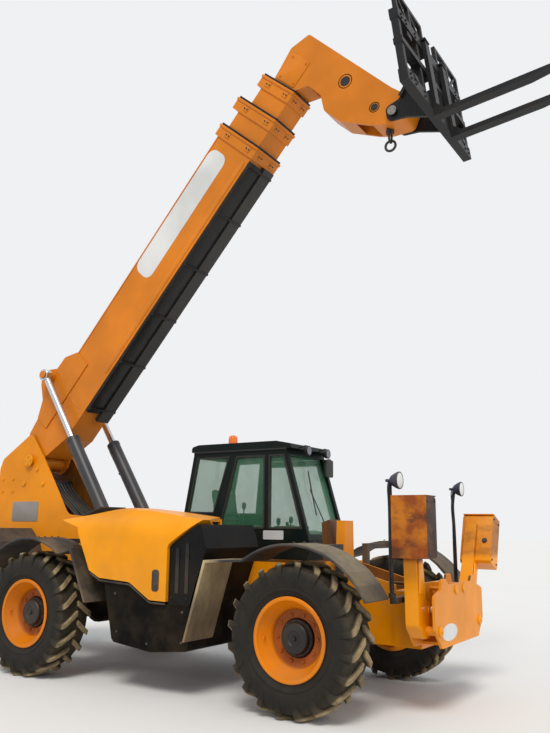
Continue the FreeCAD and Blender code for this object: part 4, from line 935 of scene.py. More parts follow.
for side_name, side in SIDES:
    made(f"boom_panel_{side_name}", cut_plate(
        PANEL, "side", *proud(BOOM_HALF + 0.0001, side, 0.0016), 0.0,
    ), panel_white, "boom", BOOM)
    made(f"boom_doubler_{side_name}", [
        cut_plate(DOUBLER, "side", *proud(BOOM_HALF, side, 0.006), 0.002),
        cut_plate(SEAM, "side", *proud(BOOM_HALF, side, 0.006), 0.002),
    ], boom_paint_shaded, "boom", BOOM)
under_cover = [block((1.0, 4.54), (-0.212, 0.014), (-0.292, -0.252), 0.006)]
under_cover += [
    block((at, at + 0.03), (-0.214, 0.216), (-0.312, -0.29), 0.004)
    for at in (1.05, 1.75, 2.45, 3.15, 3.85, 4.48)
]
made("boom_under_cover", under_cover, black_paint, "boom", BOOM)

# %% Collars: a band at the mouth, pad holders and their bolts
COLLARS = [
    ("boom", "outer", 4.705, 0.2305, -0.271, 0.417, (0.1895, 0.223, 0.335)),
    ("boom_second", "second", 5.065, 0.2035, -0.237, 0.44, (0.1625, 0.195, 0.262)),
    ("boom_third", "third", 5.425, 0.1765, -0.209, 0.332, (0.1355, 0.167, 0.189)),
]
for body, name, mouth, half, low, high, inner in COLLARS:
    bands, holders, heads = [], [], []
    lip = (mouth + 0.0015, mouth + 0.028)
    in_half, in_low, in_high = inner
    # Black lips at each collar's mouth: painted shade in the gap round the next section.
    lips = [
        block(lip, sorted((side * (in_half + 0.003), side * (half - 0.004))),
              (low + 0.004, high - 0.004), 0.003)
        for side in (1, -1)
    ]
    lips += [
        block(lip, (-in_half - 0.01, in_half + 0.01), levels, 0.003)
        for levels in ((in_high + 0.003, high - 0.004), (low + 0.004, -in_low - 0.003))
    ]
    along = (mouth - 0.026, mouth + 0.004)
    holder_along = (mouth - 0.1, mouth - 0.038)
    bolts_at = mouth - 0.068
    for side in (1, -1):
        bands.append(block(along, proud(half, side, 0.01), (low - 0.008, high + 0.008), 0.003))
        for level in (low * 0.55, high * 0.55):
            holders.append(
                block(holder_along, proud(half, side, 0.006), about(level, 0.04), 0.003)
            )
            spots = [(bolts_at, side * (half + 0.006), level + step) for step in (-0.022, 0.022)]
            heads.append(bolts(spots, 0.008, (0, side, 0)))
    for face, level in ((1, high), (-1, -low)):
        bands.append(block(along, (-half - 0.006, half + 0.006), proud(level, face, 0.01), 0.003))
        for across in (-half * 0.5, half * 0.5):
            holders.append(
                block(holder_along, about(across, 0.04), proud(level, face, 0.006), 0.003)
            )
            spots = [(bolts_at, across + step, face * (level + 0.006)) for step in (-0.022, 0.022)]
            heads.append(bolts(spots, 0.008, (0, 0, face)))
    made(f"collar_band_{name}", bands, boom_paint_shaded, body, BOOM)
    made(f"collar_pads_{name}", holders, boom_paint_shaded, body, BOOM)
    made(f"collar_bolts_{name}", heads, dark_iron, body, BOOM)
    made(f"collar_mouth_shade_{name}", lips, black_paint, body, BOOM)
print("collars dressed:", len(COLLARS))


# %% Pin caps: a disc over a pin's end, held by bolts
def pin_cap(s, n, face, side, radius, heads=3, thick=0.014):
    spots = [
        (s + x, side * (face + thick), n + z) for x, _, z in ring_of(heads, radius * 0.62, 0.0)
    ]
    return [
        round_bar(*proud(face, side, thick), radius, "Y", (s, 0, n), 32, 0.004),
        bolts(spots, radius * 0.13, (0, side, 0)),
    ]


lift_caps, pivot_caps, nose_caps, foot_caps = [], [], [], []
for side in (1, -1):
    lift_caps += pin_cap(*LIFT_EYE, 0.383, side, 0.048)
    pivot_caps += pin_cap(BOOM_PIVOT[0], BOOM_PIVOT[2], 0.2885, side, 0.076, 4)
    foot_caps += pin_cap(*LIFT_FOOT, 0.4025, side, 0.058)
    nose_caps += pin_cap(0.0, 0.0, 0.2075, side, 0.05)
made("lift_eye_caps", lift_caps, boom_paint_shaded, "boom", BOOM)
made("boom_pivot_caps", pivot_caps, yellow_paint)
made("lift_foot_caps", foot_caps, dark_iron)
made("carriage_pin_caps", nose_caps, bright_steel, "fork_pivot", FORKS)

# %% [markdown]
# ## The nose
# The nose is a welded box. Two cross tubes close its round eyes, and a shackle
# with a ring hangs from a lug at its lower end, for a hook or a chain. The
# ring is a section spun at a distance from its axis.

# %% Nose tubes, lug and ring
NOSE_HALF = 0.145
nose_tubes = []
for s, n, wide in ((5.797, -0.703, 0.084), (5.71, -1.221, 0.06)):
    nose_tubes.append(round_bar(-0.1412, 0.1412, wide - 0.012, "Y", (s, 0, n), 40))
    nose_tubes.append(round_bar(-0.1445, 0.1445, wide - 0.016, "Y", (s, 0, n), 40))
    for side in (1, -1):
        nose_tubes.append(turned([
            (wide - 0.012, side * 0.136), (wide - 0.011, side * NOSE_HALF),
            (wide - 0.001, side * NOSE_HALF), (wide, side * 0.136),
        ], "Y", (s, 0, n), 40, True))
made("nose_tubes", nose_tubes, hub_paint, "boom_inner", BOOM)
LUG_SPOT = (5.608, 0.0, -1.456)
HITCH = BOOM @ Matrix.Translation(LUG_SPOT) @ leaned(BOOM_RAISED, "Y")
ring = round_ring(0.055, 0.013, "Y", (0.0, 0.0, -0.168), 36)
bow = pipe([
    (0.0, -0.034, 0.0), (0.0, -0.036, -0.05), (0.0, -0.032, -0.112), (0.0, 0.0, -0.136),
    (0.0, 0.032, -0.112), (0.0, 0.036, -0.05), (0.0, 0.034, 0.0),
], 0.012)
made("nose_hitch", [
    block((-0.04, 0.04), (-0.018, 0.018), (-0.036, 0.085), 0.006),
    round_bar(-0.055, 0.055, 0.015, "Y", (0, 0, 0), 20, 0.002), bow, ring,
], dark_iron, "boom_inner", HITCH)
edge_plates = []
for side in (1, -1):
    edge_plates.append(cut_plate(
        round_outline([(5.47, -0.14), (5.8, -0.14), (5.8, 0.165), (5.47, 0.165)], 0.03),
        "side", *proud(NOSE_HALF, side, 0.008), 0.002,
    ))
    spots = [(s, side * 0.153, n) for s in (5.51, 5.76) for n in (-0.1, 0.125)]
    edge_plates.append(bolts(spots, 0.011, (0, side, 0)))
made("nose_doublers", edge_plates, boom_paint_shaded, "boom_inner", BOOM)

# %% [markdown]
# ## Carriage and forks
# The fork carriage is a heavy black frame. The forks hang on it by hooks, each
# with a spring pin in a notch, and the load backrest is a lattice with slanted
# braces. The pads, hooks and braces ride with the carriage.

# %% Fork hooks, braces and rubber stops
FORK_Y = 0.24
bits = []
for side in (1, -1):
    middle = side * FORK_Y
    across = about(middle, 0.062)
    bits.append(block((0.338, 0.478), across, (0.552, 0.574), 0.005))
    bits.append(block((0.322, 0.342), across, (0.5, 0.574), 0.005))
    bits.append(round_bar(0.57, 0.6, 0.016, "Z", (0.402, middle, 0)))
    bits.append(round_bar(0.6, 0.612, 0.024, "Z", (0.402, middle, 0)))
    for low, high in ((0.255, 0.545), (0.565, 0.855)):
        brace = [
            (side * low, 0.545), (side * (low + 0.045), 0.545), (side * high, 0.775),
            (side * (high - 0.045), 0.775),
        ]
        bits.append(cut_plate(brace, "front", 0.393, 0.419, 0.003))
    for level in (-0.1, 0.36):
        bits.append(block((0.425, 0.437), proud(0.62, side, 0.1), about(level, 0.03)))
    spots = [(0.431, side * y, z) for y in (0.47, 0.7, 0.81) for z in (-0.18, -0.13, 0.48, 0.52)]
    bits.append(bolts(spots, 0.011, (1, 0, 0)))
for tooth in range(-8, 9):
    at = tooth * 0.1
    if abs(abs(at) - FORK_Y) > 0.07:
        bits.append(block((0.36, 0.43), about(at, 0.012), (0.5595, 0.571), 0.002, 1))
made("carriage_fittings", bits, black_paint, "carriage", FORKS)
lines = []
for step in range(3):
    y = -0.17 - step * 0.03
    lines.append(pipe([
        (0.1, y, 0.12), (0.18, y, 0.2), (0.26, y, 0.34), (0.325, y, 0.42), (0.333, y, 0.47),
    ], 0.009))
lines.append(block((0.318, 0.342), (-0.25, -0.15), (0.455, 0.515), 0.005))
made("carriage_pipes", lines, dark_iron, "carriage", FORKS)

# %% [markdown]
# ## The cab
# The cab is welded from dark tube with bonded glass. Rubber strips frame the
# side windows, a gutter runs along the roof, and outside sit lamps front and
# rear, a mirror, a wiper, a blank plate and the door's handle. A strip is one
# face with its middle taken away and then made thick, so it stays one loop.

# %% Window rubbers
rubber = dull("window_rubber", colour(22, 23, 24), 300.0, 0.0003, 0.55, 0.35, 0.8, 2.2)


def strip_round(outline, plane, low, high, wide):
    """A flat frame that follows an outline, this wide, inside it."""
    shape, face = flat_face(outline, plane, low)
    shape.normal_update()
    bmesh.ops.inset_region(
        shape, faces=[face], thickness=wide, use_boundary=True, use_even_offset=True
    )
    bmesh.ops.delete(shape, geom=[face], context="FACES_ONLY")
    thickened(shape, shape.faces[:], plane, high - low)
    return softened(shape, 0.002, 1)


CAB_RIGHT, CAB_LEFT = 0.332, 1.172
RIGHT_WINDOWS = [
    [(-0.706, 1.632), (-0.584, 2.268), (-0.122, 2.268), (-0.322, 1.632)],
    [(-0.253, 1.472), (-0.031, 2.268), (0.353, 2.268), (0.353, 1.472)],
    [(0.402, 1.472), (0.402, 2.268), (0.596, 2.268), (0.826, 1.472)],
]
rubbers = [
    strip_round(outline, "side", CAB_RIGHT - 0.006, CAB_RIGHT + 0.013, 0.02)
    for outline in RIGHT_WINDOWS
]
rubbers.append(strip_round(
    [(-0.706, 1.632), (-0.584, 2.268), (-0.23, 2.268), (-0.286, 1.632)],
    "side", CAB_LEFT - 0.013, CAB_LEFT + 0.006, 0.02,
))
made("window_rubbers", rubbers, rubber)
made("door_rubber", strip_round(
    [(-0.166, 1.324), (-0.166, 1.48), (-0.108, 2.212), (0.552, 2.212), (0.788, 1.42),
     (0.788, 1.324)],
    "side", CAB_LEFT - 0.018, CAB_LEFT + 0.001, 0.018,
), rubber, "cab_door")
made("cab_plate_blank", cut_plate(
    round_outline([(0.34, 1.362), (0.595, 1.362), (0.595, 1.456), (0.34, 1.456)], 0.012),
    "side", CAB_RIGHT - 0.003, CAB_RIGHT + 0.001, 0.0006, 1,
), panel_white)

# %% Gutter, roof lamps, mirror, wiper and handles
FRONT_LAMPS, REAR_LAMPS = (0.54, 0.98), (0.52, 0.98)
glow = clear("lamp_glass", colour(236, 238, 232), 0.92, 0.08, 0.2)
bits = []
for y in (CAB_RIGHT - 0.016, CAB_LEFT + 0.006):
    bits.append(block((-0.62, 0.63), (y, y + 0.01), (2.316, 2.334), 0.003))
for y in FRONT_LAMPS:
    bits.append(block((0.655, 0.76), about(y, 0.012), (2.352, 2.366), 0.003))
    bits.append(turned([
        (0.0, -0.045), (0.034, -0.043), (0.05, -0.016), (0.054, 0.016), (0.05, 0.02),
        (0.046, 0.014), (0.0, 0.014),
    ], "X", (0.775, y, 2.312), 28))
    bits.append(block((0.745, 0.76), about(y, 0.03), (2.335, 2.372), 0.003))
for y in REAR_LAMPS:
    bits.append(block((-0.715, -0.625), about(y, 0.012), (2.35, 2.362), 0.003))
    bits.append(block((-0.745, -0.695), about(y, 0.055), (2.275, 2.352), 0.01))
made("cab_roof_fittings", bits, rubber)
lenses = [
    round_bar(0.014, 0.019, 0.047, "X", (0.775, y, 2.312), 28, 0.003) for y in FRONT_LAMPS
] + [
    block((-0.749, -0.744), about(y, 0.045), (2.285, 2.342), 0.002) for y in REAR_LAMPS
]
made("cab_lamp_lenses", lenses, clear("cab_lamp_glass", colour(112, 112, 126), 0.9, 0.1, 0.3))
mirror_bits = [
    pipe([(0.64, CAB_LEFT - 0.02, 2.25), (0.69, CAB_LEFT + 0.006, 2.27), (0.73, CAB_LEFT, 2.25),
          (0.735, CAB_LEFT - 0.04, 2.18), (0.735, CAB_LEFT - 0.08, 2.12)], 0.01),
    block((0.716, 0.752), (CAB_LEFT - 0.165, CAB_LEFT + 0.012), (2.055, 2.255), 0.016, 3),
]
mirror_glass = block((0.712, 0.717), (CAB_LEFT - 0.15, CAB_LEFT - 0.003), (2.07, 2.24), 0.002)
made("cab_mirrors", mirror_bits, rubber)
made("mirror_glass", mirror_glass, rod_chrome)
wiper = [
    pipe([(0.905, 0.78, 1.385), (0.88, 0.76, 1.5), (0.8, 0.7, 1.72), (0.735, 0.655, 1.9)], 0.006),
    pipe([(0.848, 0.6, 1.62), (0.76, 0.65, 1.86), (0.69, 0.695, 2.1)], 0.007),
    block((0.885, 0.925), (0.75, 0.81), (1.35, 1.395), 0.006),
]
made("screen_wiper", wiper, rubber)
made("door_handles", [
    pipe([(0.668, 1.172, 1.1), (0.668, 1.192, 1.13), (0.668, 1.192, 1.3), (0.668, 1.172, 1.33)],
         0.011),
    block((0.62, 0.72), proud(1.168, 1, 0.01), (1.34, 1.4), 0.004),
], rubber, "cab_door")
beacon_low, beacon_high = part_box("beacon")
beacon_at = ((beacon_low + beacon_high) / 2).to_2d().to_3d() + Vector((0, 0, beacon_low.z))
BEACON = Matrix.Translation(beacon_at)
made("beacon_dome", turned([
    (0.0, 0.001), (0.06, 0.001), (0.06, 0.014), (0.053, 0.016), (0.051, 0.08), (0.043, 0.1),
    (0.028, 0.111), (0.01, 0.1148), (0.0, 0.1149),
], "Z", sides=40), beacon_lens, place=BEACON, replaced=("beacon",))
made("beacon_base", turned([
    (0.0, 0.0005), (0.0615, 0.0005), (0.0625, 0.006), (0.0615, 0.013), (0.0, 0.0135),
], "Z", sides=40), rubber, place=BEACON)

# %% [markdown]
# ## In the cab
# Through the glass one sees the seat, the steering wheel and the levers. The
# seat's cushion and back are stuffed, so each starts as a rounded block, is
# given an even net of faces, and is blown up a little by a cloth simulation
# with its underside held. The sewn channels are pressed in afterwards, because
# the even net would lose them.

# %% Padded pieces
def settle(item):
    """Makes what the modifiers show the object's own mesh."""
    graph = bpy.context.evaluated_depsgraph_get()
    shown = bpy.data.meshes.new_from_object(item.evaluated_get(graph))
    item.modifiers.clear()
    item.data = shown


def swollen(name, start, held, limit, channels):
    """The start blown up by no more than the limit, with channels pressed in."""
    cushion = linked(name, mesh_of(start, name))
    even = cushion.modifiers.new("even", "REMESH")
    even.mode = "VOXEL"
    even.voxel_size = 0.007
    settle(cushion)
    before = [vert.co.copy() for vert in cushion.data.vertices]
    group = cushion.vertex_groups.new(name="held")
    pinned = [vert.index for vert in cushion.data.vertices if held(vert.co)]
    group.add(pinned, 1.0, "REPLACE")
    cloth = cushion.modifiers.new("cloth", "CLOTH")
    cloth.settings.use_pressure = True
    cloth.settings.uniform_pressure_force = 4.0
    cloth.settings.vertex_group_mass = "held"
    cloth.settings.effector_weights.gravity = 0.0
    cloth.settings.quality = 5
    for number in range(1, 21):
        bpy.context.scene.frame_set(number)
    settle(cushion)
    cushion.vertex_groups.clear()
    bpy.context.scene.frame_set(1)
    for vert, old in zip(cushion.data.vertices, before):
        step = vert.co - old
        if step.length > limit:
            vert.co = old + step.normalized() * limit
    shape = bmesh.new()
    shape.from_mesh(cushion.data)
    bmesh.ops.subdivide_edges(shape, edges=shape.edges[:], cuts=1, use_grid_fill=True, smooth=0.6)
    bmesh.ops.smooth_vert(
        shape, verts=shape.verts, factor=0.5, use_axis_x=True, use_axis_y=True, use_axis_z=True
    )
    shape.normal_update()
    for vert in shape.verts:
        press = sum(
            deep * math.exp(-((vert.co[axis] - at) / 0.007) ** 2) for axis, at, deep in channels
        )
        vert.co = vert.co - vert.normal * press
    bpy.data.objects.remove(cushion)
    return shape


SEAT_Y = 0.752
seat = made("seat_cushion", swollen(
    "cushion", block((-0.355, 0.03), about(SEAT_Y, 0.215), (1.405, 1.485), 0.03, 4),
    lambda co: co.z < 1.412, 0.022,
    [(1, SEAT_Y - 0.12, 0.007), (1, SEAT_Y + 0.12, 0.007), (0, -0.25, 0.005), (0, -0.1, 0.005)],
), seat_cloth, replaced=("driver_seat",), smooth=60.0)
BACK = GROUND @ Matrix.Translation((-0.425, SEAT_Y, 1.47)) @ leaned(-10.0, "Y")
back = made("seat_back", swollen(
    "backrest", block((-0.045, 0.04), (-0.205, 0.205), (0.02, 0.455), 0.032, 4),
    lambda co: co.x < -0.04, 0.022,
    [(1, -0.115, 0.007), (1, 0.115, 0.007), (2, 0.15, 0.005), (2, 0.29, 0.005)],
), seat_cloth, place=BACK, replaced=("driver_seat",), smooth=60.0)
base_cover = dull("seat_base", colour(34, 34, 36), 300.0, 0.0004, 0.6, 0.2)
bellows = [
    block((-0.44 + step % 2 * 0.012, -0.13 - step % 2 * 0.012), about(SEAT_Y, 0.17),
          (1.03 + step * 0.034, 1.066 + step * 0.034), 0.008)
    for step in range(10)
]
made("seat_suspension", [
    block((-0.47, -0.1), about(SEAT_Y, 0.2), (1.0085, 1.034), 0.006),
    block((-0.42, 0.02), about(SEAT_Y, 0.2), (1.372, 1.404), 0.01),
] + bellows, base_cover, replaced=("driver_seat",))
rests = [
    block((-0.4, -0.1), about(SEAT_Y + step * 0.232, 0.022), (1.6, 1.64), 0.014, 3)
    for step in (1, -1)
]
rests += [
    pipe([(-0.45, SEAT_Y + step * 0.21, 1.48), (-0.44, SEAT_Y + step * 0.225, 1.55),
          (-0.39, SEAT_Y + step * 0.232, 1.61)], 0.012)
    for step in (1, -1)
]
made("seat_arms", rests, base_cover)

# %% Steering wheel, levers and pedals
wheel_bits = [
    round_ring(0.186, 0.014, "Z", (0.44, SEAT_Y, 1.49), 48),
    round_bar(1.47, 1.512, 0.04, "Z", (0.44, SEAT_Y, 0)),
    round_bar(1.5, 1.55, 0.018, "Z", (0.31, SEAT_Y + 0.128, 0)),
]
levers = []
for x, y, tall in ((-0.04, 0.47, 1.7), (0.3, 0.93, 1.55), (0.36, 0.56, 1.53)):
    levers.append(pipe([(x, y, 1.3), (x + 0.01, y, 1.45), (x + 0.03, y, tall)], 0.008))
    levers.append(turned([(0.0, 0.0), (0.016, 0.006), (0.024, 0.03), (0.022, 0.07), (0.0, 0.085)],
                         "Z", (x + 0.03, y, tall - 0.02), 20))
console = block((-0.42, 0.1), (CAB_RIGHT + 0.052, CAB_RIGHT + 0.15), (1.01, 1.36), 0.02, 3)
pale_box = block((-0.3, 0.02), (CAB_RIGHT + 0.06, CAB_RIGHT + 0.14), (1.3605, 1.5), 0.012, 3)
made("cab_controls", wheel_bits + levers + [console], base_cover)
made("cab_tray", pale_box, dull("tray_plastic", colour(150, 152, 138), 240.0, 0.0003, 0.5, 0.3))

# %% [markdown]
# ## Bonnet and side pods
# The bonnet is one moulding. It has a sunk latch, rubber along its lower edge
# and a louvred vent in its rear slope. The vent's slats stand in a frame.

# %% Bonnet fittings
BONNET_OUT = -1.135
latch = [
    cut_plate(round_outline([(0.075, 0.905), (0.16, 0.905), (0.16, 1.1), (0.075, 1.1)], 0.03),
              "side", BONNET_OUT - 0.004, BONNET_OUT + 0.004, 0.003),
    round_bar(BONNET_OUT - 0.01, BONNET_OUT - 0.003, 0.016, "Y", (0.118, 0, 0.96), 20, 0.002),
]
made("bonnet_latch", latch, rubber, "bonnet")
edge_line = [(-0.725, 1.05), (-0.596, 0.985), (-0.205, 0.962), (0.051, 0.815), (0.238, 0.812)]
lip = [(x, z - 0.003) for x, z in edge_line] + [(x, z - 0.019) for x, z in reversed(edge_line)]
lip_strip = cut_plate(lip, "side", BONNET_OUT + 0.002, BONNET_OUT + 0.016, 0.002)
made("bonnet_lip", lip_strip, rubber, "bonnet")
slats = [
    block((-0.012, 0.004), (-0.95, -0.62), (step * 0.03, step * 0.03 + 0.008), 0.002, 1)
    for step in range(8)
]
frame_bars = [
    block((-0.01, 0.006), across, tall, 0.004)
    for across, tall in (
        ((-0.965, -0.948), (-0.018, 0.232)), ((-0.622, -0.605), (-0.018, 0.232)),
        ((-0.965, -0.605), (-0.022, -0.008)), ((-0.965, -0.605), (0.222, 0.236)),
    )
]
VENT = GROUND @ Matrix.Translation((-1.008, 0.0, 1.598)) @ leaned(72.0, "Y")
made("bonnet_vent", slats + frame_bars, rubber, "bonnet", VENT)
cover_bits = [
    block((x, x + 0.04), (-1.112, -1.104), (0.9, top), 0.003)
    for x, top in ((0.33, 1.3), (0.44, 1.34))
]
POD_OUT = -1.1055
spots = [
    (x, POD_OUT, z)
    for x, z in ((0.29, 0.86), (0.46, 0.86), (0.29, 1.28), (0.56, 1.36), (0.62, 1.3))
]
made("side_cover_fittings", cover_bits + [bolts(spots, 0.008, (0, -1, 0))], black_paint)
spots = [
    (x, POD_OUT, z)
    for x, z in ((-0.4, 0.86), (-0.36, 0.52), (0.02, 0.44), (0.42, 0.48), (0.42, 0.74))
]
made("sill_bolts", bolts(spots, 0.009, (0, -1, 0)), dark_iron)

# %% [markdown]
# ## Mudguards
# The guards are bent sheet. A rolled lip stiffens each outer edge, and the long
# flap at the cab end of the front right one is thick with dried dust. The lip
# is a pipe that follows the edge.

# %% Guard lips
GUARD_RADIUS = 0.791
guard_lips = []
for axle, side_name, sign, side in WHEELS:
    low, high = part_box(f"{axle}_{side_name}_tyre")
    middle = ((low + high) / 2).x + SET_BACK
    arc = []
    for step in range(11):
        turn = math.radians(28 + 9.7 * step)
        arc.append((
            middle + sign * GUARD_RADIUS * math.cos(turn), side * 1.202,
            0.565 + GUARD_RADIUS * math.sin(turn),
        ))
    guard_lips.append(pipe(arc, 0.011))
    spots = [(middle + step, side * y, 1.3655) for step in (-0.05, 0.05) for y in (0.84, 1.02)]
    guard_lips.append(bolts(spots, 0.01, (0, 0, 1)))
made("mudguard_lips", guard_lips, dark_plastic)

# %% [markdown]
# ## Front frame and stabilisers
# The cross plates carry the stabilisers' pins. On them are pin keepers, a pale
# oval plate that stays blank, and steel pipes. Each foot is a box of steel
# plate; its open side is closed here with a bolted cover.

# %% Pin keepers, plate and pipes
front_bits = []
for side in (1, -1):
    front_bits.append(round_bar(2.599, 2.614, 0.042, "X", (0, side * 0.512, 0.68), 32, 0.004))
    front_bits.append(bolts([(2.614, side * 0.512, 0.68)], 0.012, (1, 0, 0)))
    front_bits.append(round_bar(2.599, 2.612, 0.036, "X", (0, side * 0.1, 0.985), 24, 0.003))
made("front_keepers", front_bits, yellow_paint)
oval = []
for step in range(28):
    turn = math.tau * step / 28
    oval.append((-0.285 + 0.18 * math.cos(turn), 0.656 + 0.068 * math.sin(turn)))
made("front_plate_blank", cut_plate(oval, "front", 2.5995, 2.602, 0.0006, 1), panel_white)
for side_name, side in SIDES:
    closed = [
        cut_plate(
            round_outline([(-0.04, 0.604), (0.26, 0.604), (0.26, 1.046), (-0.04, 1.046)], 0.02),
            "side", *sorted((side * 0.1185, side * 0.1265)), 0.002,
        ),
        block((-0.044, 0.264), proud(0.118, side, 0.218), (1.068, 1.078), 0.003),
        block((0.114, 0.124), proud(0.085, side, 0.09), (0.3, 0.56), 0.003),
    ]
    made(f"foot_plates_{side_name}", closed, foot_paint[side_name],
         f"stabiliser_{side_name}", LEGS[side_name])
    heads = [
        round_bar(-0.006, -0.0005, 0.06, "X", (0, 0, 0), 28, 0.002),
        bolts([(0.19, side * 0.118, 0.8)], 0.02, (0, -side, 0)),
        bolts([(0.2625, side * y, z) for y in (0.15, 0.3) for z in (0.62, 1.03)], 0.009,
              (1, 0, 0)),
    ]
    made(f"foot_bolts_{side_name}", heads, dark_iron, f"stabiliser_{side_name}", LEGS[side_name])
front_lines = []
for side in (1, -1):
    for step in (0, 1):
        x = 2.3 - step * 0.022
        front_lines.append(pipe([
            (1.65, side * 0.225, 0.99), (2.05, side * 0.225, 1.0), (x - 0.02, side * 0.23, 0.99),
            (x, side * 0.26, 0.985), (x, side * 0.34, 0.98), (x, side * 0.4, 0.975),
        ], 0.008))
    front_lines.append(block((2.265, 2.325), proud(0.385, side, 0.035), (0.955, 0.995), 0.005))
made("front_pipes", front_lines, dark_iron)

# %% [markdown]
# ## Work lamps
# Each work lamp is a round spun bowl with a clear lens and a bracket, on a post
# beside its stabiliser, with its cable behind the post. The left post is bent
# a little inward and back out.

# %% Lamps on their posts
POST_X, HEAD_X, HEAD_Z = 2.305, 2.33, 1.88
lamp_shell = dull("lamp_shell", colour(46, 44, 66), 260.0, 0.0003, 0.42, 0.3, 0.8, 2.4)
for side_name, side in SIDES:
    y = side * 0.78
    post = [(POST_X, y, z) for z in (0.9, 1.2, 1.6, 1.885)]
    if side > 0:
        post = [
            (POST_X, y, 0.9), (POST_X, y, 1.3), (2.302, y, 1.55), (2.3, y - 0.02, 1.7),
            (POST_X, y, 1.8), (2.312, y + 0.01, 1.86), (2.318, y + 0.01, 1.885),
        ]
    lamp_parts = [
        pipe(post, 0.0165, 4),
        block((2.29, 2.3475), sorted((side * 0.42, side * 0.797)), (0.901, 0.949), 0.006),
        round_bar(0.945, 0.985, 0.03, "Z", (POST_X, y, 0), 24, 0.005),
    ]
    bowl = [
        turned([
            (0.0, -0.022), (0.022, -0.022), (0.04, -0.008), (0.062, 0.03), (0.071, 0.052),
            (0.073, 0.06), (0.071, 0.068), (0.064, 0.068), (0.061, 0.058), (0.0, 0.05),
        ], "X", (HEAD_X, y, HEAD_Z), 36),
        block((2.272, 2.312), about(y, 0.022), (1.868, 1.892), 0.006),
        pipe([(2.298, y, 1.875), (2.28, y, 1.85), (2.292, y + side * 0.004, 1.7),
              (2.287, y, 1.4), (2.287, y, 1.0)], 0.005),
    ]
    made(f"lamp_post_{side_name}", lamp_parts, black_paint, replaced=(f"work_lamp_{side_name}",))
    made(f"lamp_bowl_{side_name}", bowl, lamp_shell)
    made(f"lamp_lens_{side_name}", turned([
        (0.0, 0.052), (0.0605, 0.056), (0.063, 0.0665), (0.04, 0.073), (0.0, 0.076),
    ], "X", (HEAD_X, y, HEAD_Z), 36), glow)

# %% [markdown]
# ## Tower, tail and tank
# The grey plate on the tower's side is bare, worn paint. At the tail are two
# lamp clusters, a blank plate and a towing jaw. The tank on the left has two
# steps with ribbed treads, a filler cap and straps.

# %% Tower plates and the tail
worn_grey = painted("worn_grey", colour(150, 146, 140), 0.5, 0.5, 0.6, 2.4)
tail_red = clear("tail_red", colour(190, 16, 10), 0.94, 0.14, 0.3)
tail_amber = clear("tail_amber", colour(235, 110, 10), 0.94, 0.14, 0.3)
for side_name, side in SIDES:
    plate_line = round_outline([(-3.02, 1.53), (-2.55, 1.53), (-2.55, 1.77), (-3.02, 1.77)], 0.02)
    made(f"tower_plate_{side_name}", cut_plate(
        plate_line, "side", *proud(TOWER_HALF, side, 0.004), 0.001,
    ), worn_grey)
    tower = []
    for x, z, radius in ((-2.844, 1.99, 0.03), (-2.5, 1.98, 0.026), (-2.62, 2.16, 0.022)):
        tower.append(round_bar(*proud(0.258, side, 0.014), radius, "Y", (x, 0, z), 24, 0.003))
    spots = [(x, side * TOWER_HALF, z) for x in (-3.24, -3.05) for z in (1.3, 1.42, 1.9, 2.05)]
    tower.append(bolts(spots, 0.013, (0, side, 0)))
    made(f"tower_bosses_{side_name}", tower, yellow_paint)
    made(f"tail_housing_{side_name}", block(
        (-3.3795, -3.37), sorted((side * 0.6, side * 0.92)), (1.08, 1.26), 0.004,
    ), rubber)
    for tint, near, far, finish in (
        ("red", 0.77, 0.905, tail_red), ("amber", 0.615, 0.755, tail_amber),
    ):
        made(f"tail_lens_{tint}_{side_name}", block(
            (-3.39, -3.379), sorted((side * near, side * far)), (1.095, 1.245), 0.004,
        ), finish)
made("tail_plate", block((-3.386, -3.3795), (-0.26, 0.26), (1.12, 1.23), 0.002), panel_white)
JAW_X = -3.445
jaw = [
    block((-3.41, -3.379), (-0.14, 0.14), (0.8, 1.02), 0.008),
    block((-3.47, -3.4), (-0.085, 0.085), (0.958, 0.982), 0.006),
    block((-3.47, -3.4), (-0.085, 0.085), (0.838, 0.862), 0.006),
    round_bar(0.8, 1.06, 0.018, "Z", (JAW_X, 0, 0)),
    round_bar(1.05, 1.07, 0.028, "Z", (JAW_X, 0, 0)),
]
spots = [(-3.411, y, z) for y in (-0.115, 0.115) for z in (0.83, 0.99)]
jaw.append(bolts(spots, 0.013, (-1, 0, 0)))
made("tow_jaw", jaw, dark_iron)
made("weight_eyes", [
    round_ring(0.05, 0.014, "Y", (-2.9, side * 0.62, 1.462), 28, 10) for side in (1, -1)
], dark_iron)

# %% Valve block and pipes between the tower's plates, black: hoses, and painted shade for the tower's shadowed inside
tower_hoses_and_shade = [
    block((-2.06, -1.78), (-0.15, 0.15), (1.12, 1.34), 0.01),
    block((-2.575, -2.515), (-0.231, 0.231), (1.985, 2.035), 0.006),
]
for step in range(7):
    y = 0.195 - step * 0.052
    tower_hoses_and_shade.append(pipe([
        (-1.86 - step % 2 * 0.09, y * 0.7, 1.3), (-1.88 - step % 2 * 0.09, y * 0.8, 1.45),
        (-2.06, y, 1.62), (-2.28, y, 1.78), (-2.44, y, 1.9), (-2.52, y, 2.0),
    ], 0.016))
# All black, so the hoses and blocks also paint the shade inside the tower.
made("tower_pipes_and_shade", tower_hoses_and_shade, rubber)

# %% Tank and steps
bits = []
for low, high in ((0.47, 0.66), (0.7, 0.89)):
    bits.append(block((-0.165, 0.545), (0.865, 1.15), (low - 0.001, low + 0.016), 0.004))
    for tooth in range(12):
        x = -0.14 + tooth * 0.058
        bits.append(block((x, x + 0.022), (0.885, 1.135), (low + 0.014, low + 0.022), 0.003, 1))
for x in (-0.68, -0.36):
    bits.append(block((x, x + 0.045), (1.138, 1.144), (0.6, 0.955), 0.002))
made("tank_steps", bits, black_paint)
made("tank_cap", [
    turned([
        (0.0, 1.139), (0.05, 1.139), (0.052, 1.15), (0.046, 1.164), (0.04, 1.168), (0.0, 1.168),
    ], "Y", (-0.52, 0, 0.8), 32),
    block((-0.55, -0.49), (1.165, 1.176), (0.793, 0.807), 0.003),
], rubber)

